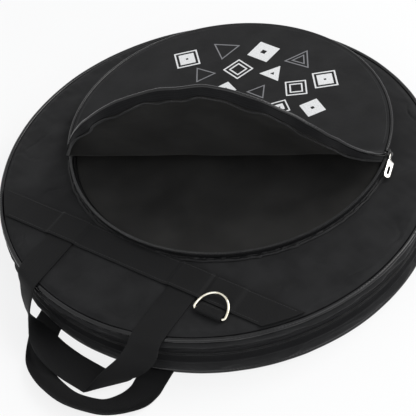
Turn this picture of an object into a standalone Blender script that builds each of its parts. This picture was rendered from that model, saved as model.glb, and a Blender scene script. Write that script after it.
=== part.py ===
# A round padded cymbal bag that lies on its back, its front pocket unzipped and the flap lifted.
# Metres. The origin is the middle of the back panel's face, +Z points out of the front, and the
# carrying handles are at -Y.

import math

import bmesh
import bpy
import numpy as np
from mathutils import Matrix, Vector

# Driving dimensions
body_radius = 0.281
body_height = 0.0666
panel_thickness = 0.009
lining_thickness = 0.001
piping_radius = 0.003
gusset_thickness = 0.0065
gusset_setback = 0.0015
zip_height = 0.035
tape_height = 0.0094
tape_thickness = 0.0015
chain_height = 0.0019
chain_thickness = 0.0036
chain_gap = 0.0022
spine_half_angle = math.radians(22)
webbing_width = 0.038
webbing_thickness = 0.0022
band_to_rim = 0.1018
left_leg_x = -0.098
right_leg_x = 0.082
handle_axis_to_rim = 0.0035
pocket_x = -0.0055
pocket_y = 0.0475
pocket_margin = 0.0695
pocket_depth = 0.022
pocket_zip_height = 0.0115
fold_start = math.radians(10.7)
fold_end = math.radians(221)
flap_open_angle = math.radians(75)
flap_droop_angle = math.radians(35)
flap_fabric = 0.0022
ring_width = 0.044
ring_length = 0.0302
ring_wire_radius = 0.0021
ring_x = 0.128
ring_to_rim = 0.069
pull_length = 0.0355
pocket_slider_angle = math.radians(12.4)
pocket_pull_slope = math.radians(8)
main_slider_middle = math.radians(140.3)
main_slider_spacing = 0.01252
main_pull_slope = math.radians(15)

# Clearances and facets that every piece shares
clearance = 0.0003
overrun = 0.004
weld_distance = 0.000001
round_steps = 72
torus_sides = 8
pocket_floor_steps = 60
sheet_columns = 40
bend_steps = 8
arc_step = math.radians(5)
pocket_step = math.radians(6)

# Places that follow from the sizes above
band_centre_y = band_to_rim - body_radius
handle_axis_y = handle_axis_to_rim - body_radius
ring_y = ring_to_rim - body_radius
pocket_radius = body_radius - pocket_margin
gusset_foot = 2 * piping_radius + 2 * clearance
lower_chain_top = zip_height - chain_gap / 2
upper_chain_foot = zip_height + chain_gap / 2
lower_tape_top = lower_chain_top - chain_height - clearance
upper_tape_foot = upper_chain_foot + chain_height + clearance
lower_gusset_top = lower_tape_top - tape_height - clearance
upper_gusset_foot = upper_tape_foot + tape_height + clearance
gusset_outer = body_radius - gusset_setback
gusset_inner = gusset_outer - gusset_thickness
zip_radius = gusset_inner + piping_radius
panel_inner_radius = gusset_inner - clearance
panel_rim_radius = body_radius - 2 * piping_radius - clearance
front = body_height

collection = None
tools = None


def clear_scene():
    for obj in list(bpy.data.objects):
        bpy.data.objects.remove(obj, do_unlink=True)


def new_collection(name):
    made = bpy.data.collections.new(name)
    bpy.context.scene.collection.children.link(made)
    return made


def look(name, colour, roughness, metallic=0.0):
    # One Principled material of the given colour
    made = bpy.data.materials.new(name)
    made.use_nodes = True
    shader = made.node_tree.nodes["Principled BSDF"]
    shader.inputs["Base Color"].default_value = (*colour, 1.0)
    shader.inputs["Roughness"].default_value = roughness
    shader.inputs["Metallic"].default_value = metallic
    return made


def place_object(name, data, material):
    obj = bpy.data.objects.new(name, data)
    collection.objects.link(obj)
    data.materials.append(material)
    return obj


def as_cutter(obj):
    collection.objects.unlink(obj)
    tools.objects.link(obj)
    obj.hide_render = True
    obj.display_type = "WIRE"
    return obj


def boolean(obj, other, operation):
    change = obj.modifiers.new(operation.lower() + "_" + other.name, "BOOLEAN")
    change.operation = operation
    change.object = other


def slab(name, columns, rows, place, material):
    # A closed sheet: place(along, across, deep), each from 0 to 1, gives every corner's position
    shape = bmesh.new()
    bmesh.ops.create_grid(shape, x_segments=columns, y_segments=rows, size=0.5)
    grown = bmesh.ops.extrude_face_region(shape, geom=shape.faces[:])
    lifted = [item for item in grown["geom"] if isinstance(item, bmesh.types.BMVert)]
    bmesh.ops.translate(shape, verts=lifted, vec=(0, 0, 1))
    for corner in shape.verts:
        corner.co = place(corner.co.x + 0.5, corner.co.y + 0.5, corner.co.z)
    if shape.calc_volume(signed=True) < 0:
        bmesh.ops.reverse_faces(shape, faces=shape.faces[:])
    mesh = bpy.data.meshes.new(name)
    shape.to_mesh(mesh)
    shape.free()
    mesh.shade_smooth()
    mesh.set_sharp_from_angle(angle=math.radians(40))
    return place_object(name, mesh, material)


def turned(name, profile, closed, material, steps=round_steps, centre=(0, 0)):
    # A profile of (radius, height) pairs, running down its outer side, turned round a vertical axis
    mesh = bpy.data.meshes.new(name)
    count = len(profile)
    edges = [(step, step + 1) for step in range(count - 1)]
    if closed:
        edges.append((count - 1, 0))
    mesh.from_pydata([(radius, 0, height) for radius, height in profile], edges, [])
    obj = place_object(name, mesh, material)
    obj.location = (*centre, 0)
    screw = obj.modifiers.new("turn", "SCREW")
    screw.axis = "Z"
    screw.steps = steps
    screw.render_steps = steps
    screw.use_merge_vertices = True
    screw.merge_threshold = 0.00001
    screw.use_smooth_shade = False
    return obj


def tube(name, points, radius, material, closed=False, resolution=1):
    # A round cord through the points, with filled ends
    curve = bpy.data.curves.new(name, "CURVE")
    curve.dimensions = "3D"
    curve.bevel_depth = radius
    curve.bevel_resolution = resolution
    curve.use_fill_caps = True
    line = curve.splines.new("POLY")
    line.points.add(len(points) - 1)
    for knot, point in zip(line.points, points):
        knot.co = (*point, 1)
    line.use_cyclic_u = closed
    return place_object(name, curve, material)


def outline_plate(name, outlines, thickness, material):
    # A flat plate between outlines in its own XY plane: the first is the rim, the rest are holes
    curve = bpy.data.curves.new(name, "CURVE")
    curve.dimensions = "2D"
    curve.fill_mode = "BOTH"
    curve.extrude = thickness / 2
    for outline in outlines:
        line = curve.splines.new("POLY")
        line.points.add(len(outline) - 1)
        for knot, (x, y) in zip(line.points, outline):
            knot.co = (x, y, 0, 1)
        line.use_cyclic_u = True
    return place_object(name, curve, material)


def to_mesh(obj):
    # A mesh object with the same shape and place as a curve object, its caps welded
    graph = bpy.context.evaluated_depsgraph_get()
    mesh = bpy.data.meshes.new_from_object(obj.evaluated_get(graph))
    shape = bmesh.new()
    shape.from_mesh(mesh)
    bmesh.ops.remove_doubles(shape, verts=shape.verts[:], dist=weld_distance)
    bmesh.ops.recalc_face_normals(shape, faces=shape.faces[:])
    shape.to_mesh(mesh)
    shape.free()
    name = obj.name
    made = bpy.data.objects.new(name + "_mesh", mesh)
    collection.objects.link(made)
    made.matrix_world = obj.matrix_world.copy()
    bpy.data.objects.remove(obj, do_unlink=True)
    made.name = name
    return made


def arc_wall(name, start, end, section, step, material, centre=(0, 0)):
    # A wall along an arc: section(across, deep) gives its radius and its height
    columns = max(2, round((end - start) / step))

    def place(along, across, deep):
        angle = start + along * (end - start)
        radius, height = section(across, deep)
        return Vector((centre[0] + radius * math.cos(angle), centre[1] + radius * math.sin(angle), height))

    return slab(name, columns, 1, place, material)


def between(low, high, share):
    return low + (high - low) * share


def joint_empty(name, location, children):
    # An empty on a joint's axis that carries the pieces moving about it
    bpy.context.view_layer.update()
    axis = bpy.data.objects.new(name, None)
    collection.objects.link(axis)
    axis.location = location
    bpy.context.view_layer.update()
    for child in children:
        child.parent = axis
        child.matrix_parent_inverse = axis.matrix_world.inverted()
    return axis


def mirrored(profile):
    # The same profile on the front half, still running from top to bottom
    return [(radius, body_height - height) for radius, height in reversed(profile)]


# The two halves of the shell

panel_edge = 0.0015


def panel_profile():
    step_height = 2 * piping_radius + clearance
    return [
        (0, panel_thickness),
        (panel_inner_radius, panel_thickness),
        (panel_inner_radius, step_height),
        (panel_rim_radius, step_height),
        (panel_rim_radius, panel_edge),
        (panel_rim_radius - panel_edge, 0),
        (0, 0),
    ]


def lining_profile():
    low = panel_thickness + clearance
    high = low + lining_thickness
    return [(0, high), (panel_inner_radius, high), (panel_inner_radius, low), (0, low)]


def shell_panels(fabric, lining):
    back = turned("back_panel", panel_profile(), False, fabric)
    back_lining = turned("back_lining", lining_profile(), False, lining)
    face = turned("front_panel", mirrored(panel_profile()), False, fabric)
    face_lining = turned("front_lining", mirrored(lining_profile()), False, lining)
    return back, back_lining, face, face_lining


def gusset_profile(low, high):
    return [(gusset_inner, high), (gusset_outer, high), (gusset_outer, low), (gusset_inner, low)]


def shell_gussets(fabric):
    lower = turned("lower_gusset", gusset_profile(gusset_foot, lower_gusset_top), True, fabric)
    top = body_height - gusset_foot
    upper = turned("upper_gusset", gusset_profile(upper_gusset_foot, top), True, fabric)
    return lower, upper


def shell_piping(name, height, material):
    bpy.ops.mesh.primitive_torus_add(
        major_radius=body_radius - piping_radius,
        minor_radius=piping_radius,
        major_segments=round_steps,
        minor_segments=torus_sides,
        location=(0, 0, height),
    )
    obj = bpy.context.object
    for owner in list(obj.users_collection):
        owner.objects.unlink(obj)
    collection.objects.link(obj)
    obj.name = name
    obj.data.materials.append(material)
    obj.data.shade_smooth()
    return obj


# The main zip and the spine that hinges the two halves

spine_end_gap = 0.003


def tape_section(low, high):
    def section(across, deep):
        return zip_radius + between(-tape_thickness, tape_thickness, deep) / 2, between(low, high, across)

    return section


def chain_section(low, high, radius):
    def section(across, deep):
        return radius + between(-chain_thickness, chain_thickness, deep) / 2, between(low, high, across)

    return section


def main_zip(tape, metal):
    spine_start = math.pi / 2 - spine_half_angle
    spine_end = math.pi / 2 + spine_half_angle
    spine = arc_wall(
        "spine_panel",
        spine_start,
        spine_end,
        tape_section(lower_gusset_top + clearance, upper_gusset_foot - clearance),
        arc_step,
        tape,
    )
    made = [spine]
    for name, end_gap, tape_low, tape_high, chain_low, chain_high in (
        (
            "lower_zip",
            clearance,
            lower_gusset_top + clearance,
            lower_tape_top,
            lower_tape_top + clearance,
            lower_chain_top,
        ),
        (
            "upper_zip",
            spine_end_gap,
            upper_tape_foot,
            upper_gusset_foot - clearance,
            upper_chain_foot,
            upper_tape_foot - clearance,
        ),
    ):
        start = spine_end + end_gap / zip_radius
        end = 2 * math.pi + spine_start - end_gap / zip_radius
        made.append(arc_wall(name + "_tape", start, end, tape_section(tape_low, tape_high), arc_step, tape))
        section = chain_section(chain_low, chain_high, zip_radius)
        made.append(arc_wall(name + "_chain", start, end, section, arc_step, metal))
    return made


# Zip sliders: two plates joined by a thin bridge between the chains, and a bail for the pull

slider_length = 0.011
slider_height = 0.009
slider_plate = 0.0013
slider_bridge = 0.0016
slider_play = 0.0004
bail_half_length = 0.0040
bail_rise = 0.0032
bail_wire_radius = 0.0008
bail_root = 0.0006
pull_thickness = 0.0012
pull_rise = 0.0012
slider_nose_share = 0.62
pull_eye_half = 0.0034
pull_eye_length = 0.0086
pull_rim = 0.0013
pull_grip_half = 0.0042
pull_tip_steps = 6


def slider_outline():
    # The H section seen along the zip: x is radial and y is vertical
    inner = chain_thickness / 2 + slider_play
    outer = inner + slider_plate
    tall = slider_height / 2
    thin = slider_bridge / 2
    quarter = [(outer, -tall), (outer, tall), (inner, tall), (inner, thin)]
    turned_half = [(-inner, thin), (-inner, tall), (-outer, tall), (-outer, -tall), (-inner, -tall), (-inner, -thin)]
    return quarter + turned_half + [(inner, -thin), (inner, -tall)]


def slider_frame(centre, radius, height, angle):
    # Local x runs along the zip, y points outward and z up, at the chain's middle
    outward = Vector((math.cos(angle), math.sin(angle), 0))
    along = Vector((-math.sin(angle), math.cos(angle), 0))
    frame = Matrix.Identity(4)
    frame.col[0].xyz = -along
    frame.col[1].xyz = outward
    frame.col[2].xyz = Vector((0, 0, 1))
    frame.translation = (centre[0] + radius * outward.x, centre[1] + radius * outward.y, height)
    return frame


def zip_slider(name, frame, material):
    body = to_mesh(outline_plate(name, [slider_outline()], slider_length, material))
    # The outline's x, y and thickness become the frame's y, z and x; the nose end is narrower
    for vertex in body.data.vertices:
        radial, upright, lengthwise = vertex.co
        squeeze = between(slider_nose_share, 1, 0.5 + lengthwise / slider_length)
        if abs(upright) > slider_bridge:
            upright *= squeeze
        vertex.co = (lengthwise, radial, upright)
    face = chain_thickness / 2 + slider_play + slider_plate
    points = []
    for step in range(bend_steps + 1):
        turn = math.pi * step / bend_steps
        rise = face - bail_root + (bail_rise + bail_root) * math.sin(turn)
        points.append((bail_half_length * math.cos(turn), rise, 0))
    bail = as_cutter(to_mesh(tube(name + "_bail", points, bail_wire_radius, material, resolution=1)))
    body.matrix_world = frame
    bail.matrix_world = frame
    boolean(body, bail, "UNION")
    return body


def pull_outlines():
    # The eye that wraps the bail, a neck, and a rounded grip; x runs from the pivot to the tip
    half_bar = pull_thickness / 2
    grip_start = pull_eye_length + 2 * pull_rim
    tip_middle = pull_length - pull_grip_half
    outer = [(-half_bar, -pull_eye_half), (pull_eye_length, -pull_eye_half), (grip_start, -pull_grip_half)]
    for step in range(pull_tip_steps + 1):
        turn = math.pi * (step / pull_tip_steps - 0.5)
        outer.append((tip_middle + pull_grip_half * math.cos(turn), pull_grip_half * math.sin(turn)))
    outer += [(grip_start, pull_grip_half), (pull_eye_length, pull_eye_half), (-half_bar, pull_eye_half)]
    hole_half = pull_eye_half - pull_rim
    eye = [
        (half_bar, -hole_half),
        (half_bar, hole_half),
        (pull_eye_length, hole_half),
        (pull_eye_length, -hole_half),
    ]
    slot_half = pull_grip_half - 2 * pull_rim
    slot_start = pull_length / 2
    slot_end = pull_length - 3 * pull_rim
    slot = [
        (slot_start, -slot_half),
        (slot_start, slot_half),
        (slot_end, slot_half),
        (slot_end, -slot_half),
    ]
    return [outer, eye, slot]


def zip_pull(name, frame, slope, backward, material):
    # The pull lies along the zip, its tip hanging down by the slope; backward turns it round
    side = -1 if backward else 1
    length_way = Vector((side * math.cos(slope), 0, -math.sin(slope)))
    outward = Vector((0, 1, 0))
    width_way = outward.cross(length_way)
    local = Matrix.Identity(4)
    local.col[0].xyz = length_way
    local.col[1].xyz = width_way
    local.col[2].xyz = outward
    pivot_y = chain_thickness / 2 + slider_play + slider_plate + pull_rise
    local.translation = (0, pivot_y, 0)
    obj = outline_plate(name, pull_outlines(), pull_thickness, material)
    obj.matrix_world = frame @ local
    return obj


# The front pocket: floor, walls, fixed rear lid, hinged flap

wall_thickness = 0.0015
wall_lean = 0.0055
pocket_piping_radius = 0.0022
rear_lid_steps = 44
flap_rows = 5
flap_least_reach = 0.0018
flap_piping_steps = 42
corner_reach = math.radians(4.8)
corner_gap = 0.0016
flap_end_angle = math.radians(3.4)
pocket_top = front + pocket_depth
half_open = (2 * math.pi - (fold_end - fold_start)) / 2
fold_distance = pocket_radius * math.cos(half_open)
half_chord = pocket_radius * math.sin(half_open)
fold_side = fold_start - half_open
fold_normal = Vector((math.cos(fold_side), math.sin(fold_side), 0))
fold_along = Vector((-math.sin(fold_side), math.cos(fold_side), 0))
pocket_middle = Vector((pocket_x, pocket_y, 0))
pocket_zip_radius = pocket_radius - pocket_piping_radius
pocket_lower_chain_top = pocket_zip_height - chain_gap / 2
pocket_upper_chain_foot = pocket_zip_height + chain_gap / 2
pocket_sheet_radius = pocket_radius - 2 * pocket_piping_radius - clearance
foot_radius = pocket_zip_radius - wall_lean + wall_thickness


def wall_section(top):
    # The wall leans outward from its foot to the zip's radius at the height of the chain
    def section(across, deep):
        height = between(clearance, top, across)
        lean = foot_radius + (pocket_zip_radius - foot_radius) * min(1, height / pocket_zip_height)
        return lean + between(-wall_thickness, wall_thickness, deep) / 2, front + height

    return section


def pocket_walls(fabric, tape, metal, lining):
    centre = (pocket_x, pocket_y)
    chain_low = pocket_lower_chain_top - chain_height
    tape_foot = chain_low / 2
    front_start = fold_end - 2 * math.pi - corner_reach
    front_end = fold_start + corner_reach
    gap_angle = clearance / pocket_radius
    rear_top = pocket_depth - 2 * pocket_piping_radius - clearance
    floor_radius = foot_radius - wall_thickness / 2 - 2 * clearance
    floor_low = front + clearance
    floor = turned(
        "pocket_floor",
        [
            (0, floor_low + lining_thickness),
            (floor_radius, floor_low + lining_thickness),
            (floor_radius, floor_low),
            (0, floor_low),
        ],
        False,
        lining,
        steps=pocket_floor_steps,
        centre=centre,
    )
    wall = arc_wall(
        "pocket_front_wall", front_start, front_end, wall_section(tape_foot), pocket_step, fabric, centre
    )

    def tape_part(across, deep):
        height = between(tape_foot + clearance, chain_low - clearance, across)
        return pocket_zip_radius + between(-tape_thickness, tape_thickness, deep) / 2, front + height

    zip_tape = arc_wall("pocket_zip_tape", front_start, front_end, tape_part, pocket_step, tape, centre)
    chain_part = chain_section(front + chain_low, front + pocket_lower_chain_top, pocket_zip_radius)
    chain = arc_wall("pocket_zip_chain", front_start, front_end, chain_part, pocket_step, metal, centre)
    rear = arc_wall(
        "pocket_rear_wall",
        front_end + gap_angle * 2,
        front_start + 2 * math.pi - gap_angle * 2,
        wall_section(rear_top),
        pocket_step,
        fabric,
        centre,
    )
    return floor, wall, zip_tape, chain, rear


def pocket_rear_lid(fabric, piping):
    # The part of the pocket's face behind the fold stays flat and is sewn to the rear wall
    end = math.acos((fold_distance - clearance) / pocket_sheet_radius)
    outline = []
    for step in range(rear_lid_steps + 1):
        angle = fold_side + end + (2 * math.pi - 2 * end) * step / rear_lid_steps
        outline.append((pocket_sheet_radius * math.cos(angle), pocket_sheet_radius * math.sin(angle)))
    lid = to_mesh(outline_plate("pocket_rear_lid", [outline], flap_fabric, fabric))
    lid.location = (pocket_x, pocket_y, pocket_top - flap_fabric / 2)
    ring = pocket_radius - pocket_piping_radius
    start = fold_start + corner_gap / pocket_radius
    finish = fold_end - corner_gap / pocket_radius
    count = round((finish - start) / pocket_step)
    points = []
    for step in range(count + 1):
        angle = between(start, finish, step / count)
        place = pocket_middle + Vector((ring * math.cos(angle), ring * math.sin(angle), 0))
        place.z = pocket_top - pocket_piping_radius
        points.append(place)
    edge = tube("pocket_rear_piping", points, pocket_piping_radius, piping)
    return lid, edge


def flap_angle(chord_share):
    # The flap stands at one angle along its left half and droops towards the slider's end
    droop = max(0.0, (chord_share - 0.5) / 0.5) ** 1.5
    return flap_open_angle - flap_droop_angle * droop


def flap_point(turn, radius, deep, shorten=0.0):
    # A point of the lifted flap from its place on the closed one: turn is measured about the
    # pocket's middle from the flap's centre line, deep is the depth below its outer face
    chord = radius * math.sin(turn)
    reach = (radius * math.cos(turn) - fold_distance) * (1 - shorten) + clearance * shorten
    angle = flap_angle(0.5 + chord / (2 * half_chord))
    out = math.cos(angle) * fold_normal + Vector((0, 0, math.sin(angle)))
    inward = math.sin(angle) * fold_normal - Vector((0, 0, math.cos(angle)))
    start = pocket_middle + fold_normal * fold_distance + fold_along * chord
    start.z = pocket_top
    return start + out * reach + inward * deep


def flap_sheet(name, low, high, material):
    end = math.acos((fold_distance + flap_least_reach) / pocket_sheet_radius)

    def place(along, across, deep):
        turn = between(-end, end, along)
        return flap_point(turn, pocket_sheet_radius, between(low, high, deep), 1 - across)

    return slab(name, sheet_columns, flap_rows, place, material)


def flap_pieces(fabric, lining, piping, tape, metal):
    sheet = flap_sheet("pocket_flap", 0, flap_fabric, fabric)
    inside_low = flap_fabric + clearance
    inside = flap_sheet("flap_lining", inside_low, inside_low + lining_thickness, lining)
    ring = pocket_radius - pocket_piping_radius
    piping_end = math.acos((fold_distance + pocket_piping_radius + corner_gap) / ring)
    points = []
    for step in range(flap_piping_steps + 1):
        turn = between(-piping_end, piping_end, step / flap_piping_steps)
        points.append(flap_point(turn, ring, pocket_piping_radius))
    edge = tube("flap_piping", points, pocket_piping_radius, piping)
    chain_low = pocket_depth - pocket_upper_chain_foot
    chain_high = chain_low - chain_height
    tape_high = 2 * pocket_piping_radius + clearance
    end = half_open - flap_end_angle

    def band(name, low, high, thickness, material):
        def place(along, across, deep):
            radius = pocket_zip_radius + between(-thickness, thickness, deep) / 2
            return flap_point(between(-end, end, along), radius, between(low, high, across))

        return slab(name, sheet_columns, 1, place, material)

    zip_tape = band("flap_zip_tape", tape_high, chain_high - clearance, tape_thickness, tape)
    chain = band("flap_zip_chain", chain_high, chain_low, chain_thickness, metal)
    return sheet, inside, edge, zip_tape, chain


# The cross band, the legs of the handles and the ring's tab

tab_width = 0.034
tab_thickness = 0.0014
hump_ramp = 0.006
hump_margin = 0.0006
band_rim_gap = 0.0012
strap_end_inset = 0.003
leg_start_y = band_centre_y + webbing_width / 2 - strap_end_inset
leg_end_gap = 0.0014
back_leg_end_gap = 0.0003
dive_length = 0.006
channel_room = 0.0003
back_band_columns = 12


def humps():
    # What the band climbs over: the middle, the half width and the thickness of each strap below
    return [
        (left_leg_x, webbing_width / 2, webbing_thickness),
        (right_leg_x, webbing_width / 2, webbing_thickness),
        (ring_x, tab_width / 2, tab_thickness),
    ]


def band_lift(x):
    # How far the band is raised at x: full over each strap, falling along a ramp on either side
    lift = 0.0
    for middle, half, thickness in humps():
        beyond = (abs(x - middle) - half - hump_margin) / hump_ramp
        lift = max(lift, (thickness + clearance) * min(1.0, max(0.0, 1 - beyond)))
    return lift


def front_band(material):
    rim = panel_rim_radius - band_rim_gap
    stops = [0.0]
    for middle, half, thickness in humps():
        for reach in (half + hump_margin, half + hump_margin + hump_ramp):
            stops += [middle - reach, middle + reach]
    stops = [-rim] + sorted(stops) + [rim]
    last = len(stops) - 1

    def place(along, across, deep):
        y = band_centre_y + between(-webbing_width, webbing_width, across) / 2
        reach = math.sqrt(rim * rim - y * y)
        x = min(reach, max(-reach, stops[round(along * last)]))
        return Vector((x, y, front + clearance + band_lift(x) + deep * webbing_thickness))

    return slab("front_band", last, 1, place, material)


def straight_leg(name, x, low, material):
    def place(along, across, deep):
        y = between(leg_start_y, handle_axis_y + leg_end_gap, along)
        return Vector((x + between(-webbing_width, webbing_width, across) / 2, y, low + deep * webbing_thickness))

    return slab(name, 2, 1, place, material)


def back_leg_height(y):
    # A back leg lies flush with the panel's face and dives under the back band
    band_edge = band_centre_y - webbing_width / 2
    share = min(1.0, max(0.0, (y - (band_edge - dive_length)) / (dive_length - 2 * clearance)))
    return clearance + (webbing_thickness + clearance) * share


def back_webbing(material, panel, piping):
    pieces = []
    depth = webbing_thickness + 2 * clearance
    for name, x in (("back_leg_left", left_leg_x), ("back_leg_right", right_leg_x)):
        end_y = handle_axis_y + back_leg_end_gap
        band_edge = band_centre_y - webbing_width / 2
        dive_start = band_edge - dive_length
        stops = [leg_start_y, band_edge - 2 * clearance, dive_start, end_y]

        def place(along, across, deep):
            y = stops[round(along * 3)]
            side = between(-webbing_width, webbing_width, across) / 2
            return Vector((x + side, y, back_leg_height(y) + deep * webbing_thickness))

        pieces.append(slab(name, 3, 1, place, material))
        for cutter_name, first, last, deep_cut in (
            (name + "_channel", leg_start_y + channel_room, end_y - overrun, depth),
            (name + "_dive", leg_start_y + channel_room, dive_start - channel_room, 2 * depth),
        ):
            bpy.ops.mesh.primitive_cube_add(size=1)
            cutter = bpy.context.object
            cutter.name = cutter_name
            for owner in list(cutter.users_collection):
                owner.objects.unlink(cutter)
            collection.objects.link(cutter)
            wide = webbing_width + 2 * channel_room
            tall = deep_cut + overrun
            cutter.data.transform(Matrix.Diagonal((wide, first - last, tall, 1)))
            cutter.location = (x, (first + last) / 2, deep_cut - tall / 2)
            as_cutter(cutter)
            boolean(panel, cutter, "DIFFERENCE")
            if last < dive_start - overrun:
                boolean(piping, cutter, "DIFFERENCE")
    rim = panel_rim_radius - 2 * band_rim_gap

    def band_place(room):
        def place(along, across, deep):
            wide = webbing_width + 2 * room
            y = band_centre_y + between(-wide, wide, across) / 2
            x = between(-1, 1, along) * (math.sqrt(rim * rim - y * y) + room)
            low = clearance if room == 0 else -overrun
            high = clearance + webbing_thickness + room
            return Vector((x, y, between(low, high, deep)))

        return place

    pieces.append(slab("back_band", back_band_columns, 1, band_place(0), material))
    channel = as_cutter(slab("back_band_channel", back_band_columns, 1, band_place(channel_room), material))
    boolean(panel, channel, "DIFFERENCE")
    return pieces


tab_end_gap = 0.0016
tab_turns = 9


def ring_tab(material):
    # A strip under the band's edge, round the ring's bar and back down to the band
    bar_height = front + clearance + tab_thickness + clearance + ring_wire_radius
    bend = ring_wire_radius + clearance + tab_thickness / 2
    end_height = front + 2 * clearance + 1.5 * tab_thickness + clearance
    end_y = band_centre_y - webbing_width / 2 - tab_end_gap
    reach = math.hypot(end_y - ring_y, end_height - bar_height)
    aim = math.atan2(end_height - bar_height, end_y - ring_y)
    leave = aim + math.acos(bend / reach)
    line = [(leg_start_y, bar_height - bend), (band_centre_y, bar_height - bend)]
    for step in range(tab_turns + 1):
        angle = between(-math.pi / 2, leave - 2 * math.pi, step / tab_turns)
        line.append((ring_y + bend * math.cos(angle), bar_height + bend * math.sin(angle)))
    line.append((end_y, end_height))
    count = len(line) - 1

    def place(along, across, deep):
        index = round(along * count)
        here = Vector(line[index])
        before = Vector(line[max(index - 1, 0)])
        after = Vector(line[min(index + 1, count)])
        way = ((here - before).normalized() + (after - here).normalized()).normalized()
        side = Vector((-way.y, way.x))
        spot = here + side * between(-tab_thickness, tab_thickness, deep) / 2
        x = ring_x + between(-tab_width, tab_width, across) / 2
        return Vector((x, spot.x, spot.y))

    return slab("ring_tab", count, 1, place, material)


ring_corner = 0.003
ring_corner_share = 0.3
ring_steps = 14
ring_tilt = math.radians(13)


def d_ring(metal):
    # A straight bar with rounded corners, closed by half an oval; it leans over the band
    half = ring_width / 2 - ring_wire_radius
    height = ring_length - 2 * ring_wire_radius
    cut = ring_corner * ring_corner_share
    points = [(-half + ring_corner, 0), (half - ring_corner, 0), (half - cut, cut)]
    for step in range(ring_steps + 1):
        turn = math.pi * step / ring_steps
        points.append((half * math.cos(turn), ring_corner + (height - ring_corner) * math.sin(turn)))
    points.append((-half + cut, cut))
    bar_height = front + clearance + tab_thickness + clearance + ring_wire_radius
    line = []
    for x, away in points:
        line.append((x, away * math.cos(ring_tilt), away * math.sin(ring_tilt)))
    obj = tube("d_ring", line, ring_wire_radius, metal, closed=True, resolution=2)
    obj.location = (ring_x, ring_y, bar_height)
    return obj


# The loose loops of the two handles

front_reach = 0.0405
back_reach = 0.0585
back_hinge_gap = 0.0006
front_strap_steps = 52
back_strap_steps = 44

# Share of the way from the left leg to the right one, of the reach, of the body's height, and of
# the half turn that the strap's width makes
front_path_shares = (
    (0.000, 0.000, 0.996, 0.00),
    (0.000, 0.090, 0.800, 0.00),
    (0.005, 0.210, 0.570, 0.15),
    (0.020, 0.335, 0.345, 0.36),
    (0.067, 0.480, 0.165, 0.46),
    (0.178, 0.680, 0.095, 0.50),
    (0.333, 0.850, 0.074, 0.50),
    (0.489, 0.975, 0.069, 0.50),
    (0.639, 1.000, 0.075, 0.51),
    (0.772, 0.880, 0.150, 0.56),
    (0.883, 0.630, 0.330, 0.68),
    (0.961, 0.345, 0.600, 0.85),
    (0.997, 0.110, 0.826, 0.97),
    (1.000, 0.000, 0.996, 1.00),
)
# The same for the back handle, which lies flat: along, reach
back_path_shares = (
    (0.000, 0.000),
    (0.005, 0.240),
    (0.055, 0.540),
    (0.155, 0.790),
    (0.289, 0.930),
    (0.433, 0.985),
    (0.578, 1.000),
    (0.722, 0.965),
    (0.850, 0.845),
    (0.950, 0.610),
    (0.995, 0.310),
    (1.000, 0.000),
)


def smooth_rows(rows, count):
    # Catmull-Rom interpolation of a table of rows, at count + 1 even steps
    table = np.array(rows, float)
    padded = np.vstack([2 * table[0] - table[1], table, 2 * table[-1] - table[-2]])
    result = []
    for step in range(count + 1):
        spot = (len(table) - 1) * step / count
        index = min(int(spot), len(table) - 2)
        share = spot - index
        a, b, c, d = padded[index : index + 4]
        result.append(
            0.5 * (2 * b + (c - a) * share + (2 * a - 5 * b + 4 * c - d) * share**2 + (3 * (b - c) + d - a) * share**3)
        )
    return np.array(result)


def strap(name, points, widths, material):
    # A ribbon along the points whose width lies along the given directions
    points = np.array(points)
    ways = np.gradient(points, axis=0)
    count = len(points) - 1

    def place(along, across, deep):
        index = round(along * count)
        way = Vector(ways[index]).normalized()
        width = Vector(widths[index])
        width = (width - way * width.dot(way)).normalized()
        face = way.cross(width)
        spot = Vector(points[index]) + width * between(-webbing_width, webbing_width, across) / 2
        return spot + face * between(-webbing_thickness, webbing_thickness, deep) / 2

    return slab(name, count, 1, place, material)


def front_handle(material):
    table = smooth_rows(front_path_shares, front_strap_steps)
    points = []
    widths = []
    for along, reach, height, turn in table:
        x = between(left_leg_x, right_leg_x, along)
        points.append((x, handle_axis_y - reach * front_reach, height * body_height))
        widths.append((math.cos(math.pi * turn), math.sin(math.pi * turn), 0))
    return strap("front_handle", points, widths, material)


def back_handle(material):
    table = smooth_rows(back_path_shares, back_strap_steps)
    points = []
    for along, reach in table:
        x = between(left_leg_x, right_leg_x, along)
        y = handle_axis_y - back_hinge_gap - reach * back_reach
        points.append((x, y, clearance + webbing_thickness / 2))
    ways = np.gradient(np.array(points), axis=0)
    widths = [(-way[1], way[0], 0) for way in ways]
    return strap("back_handle", points, widths, material)


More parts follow.
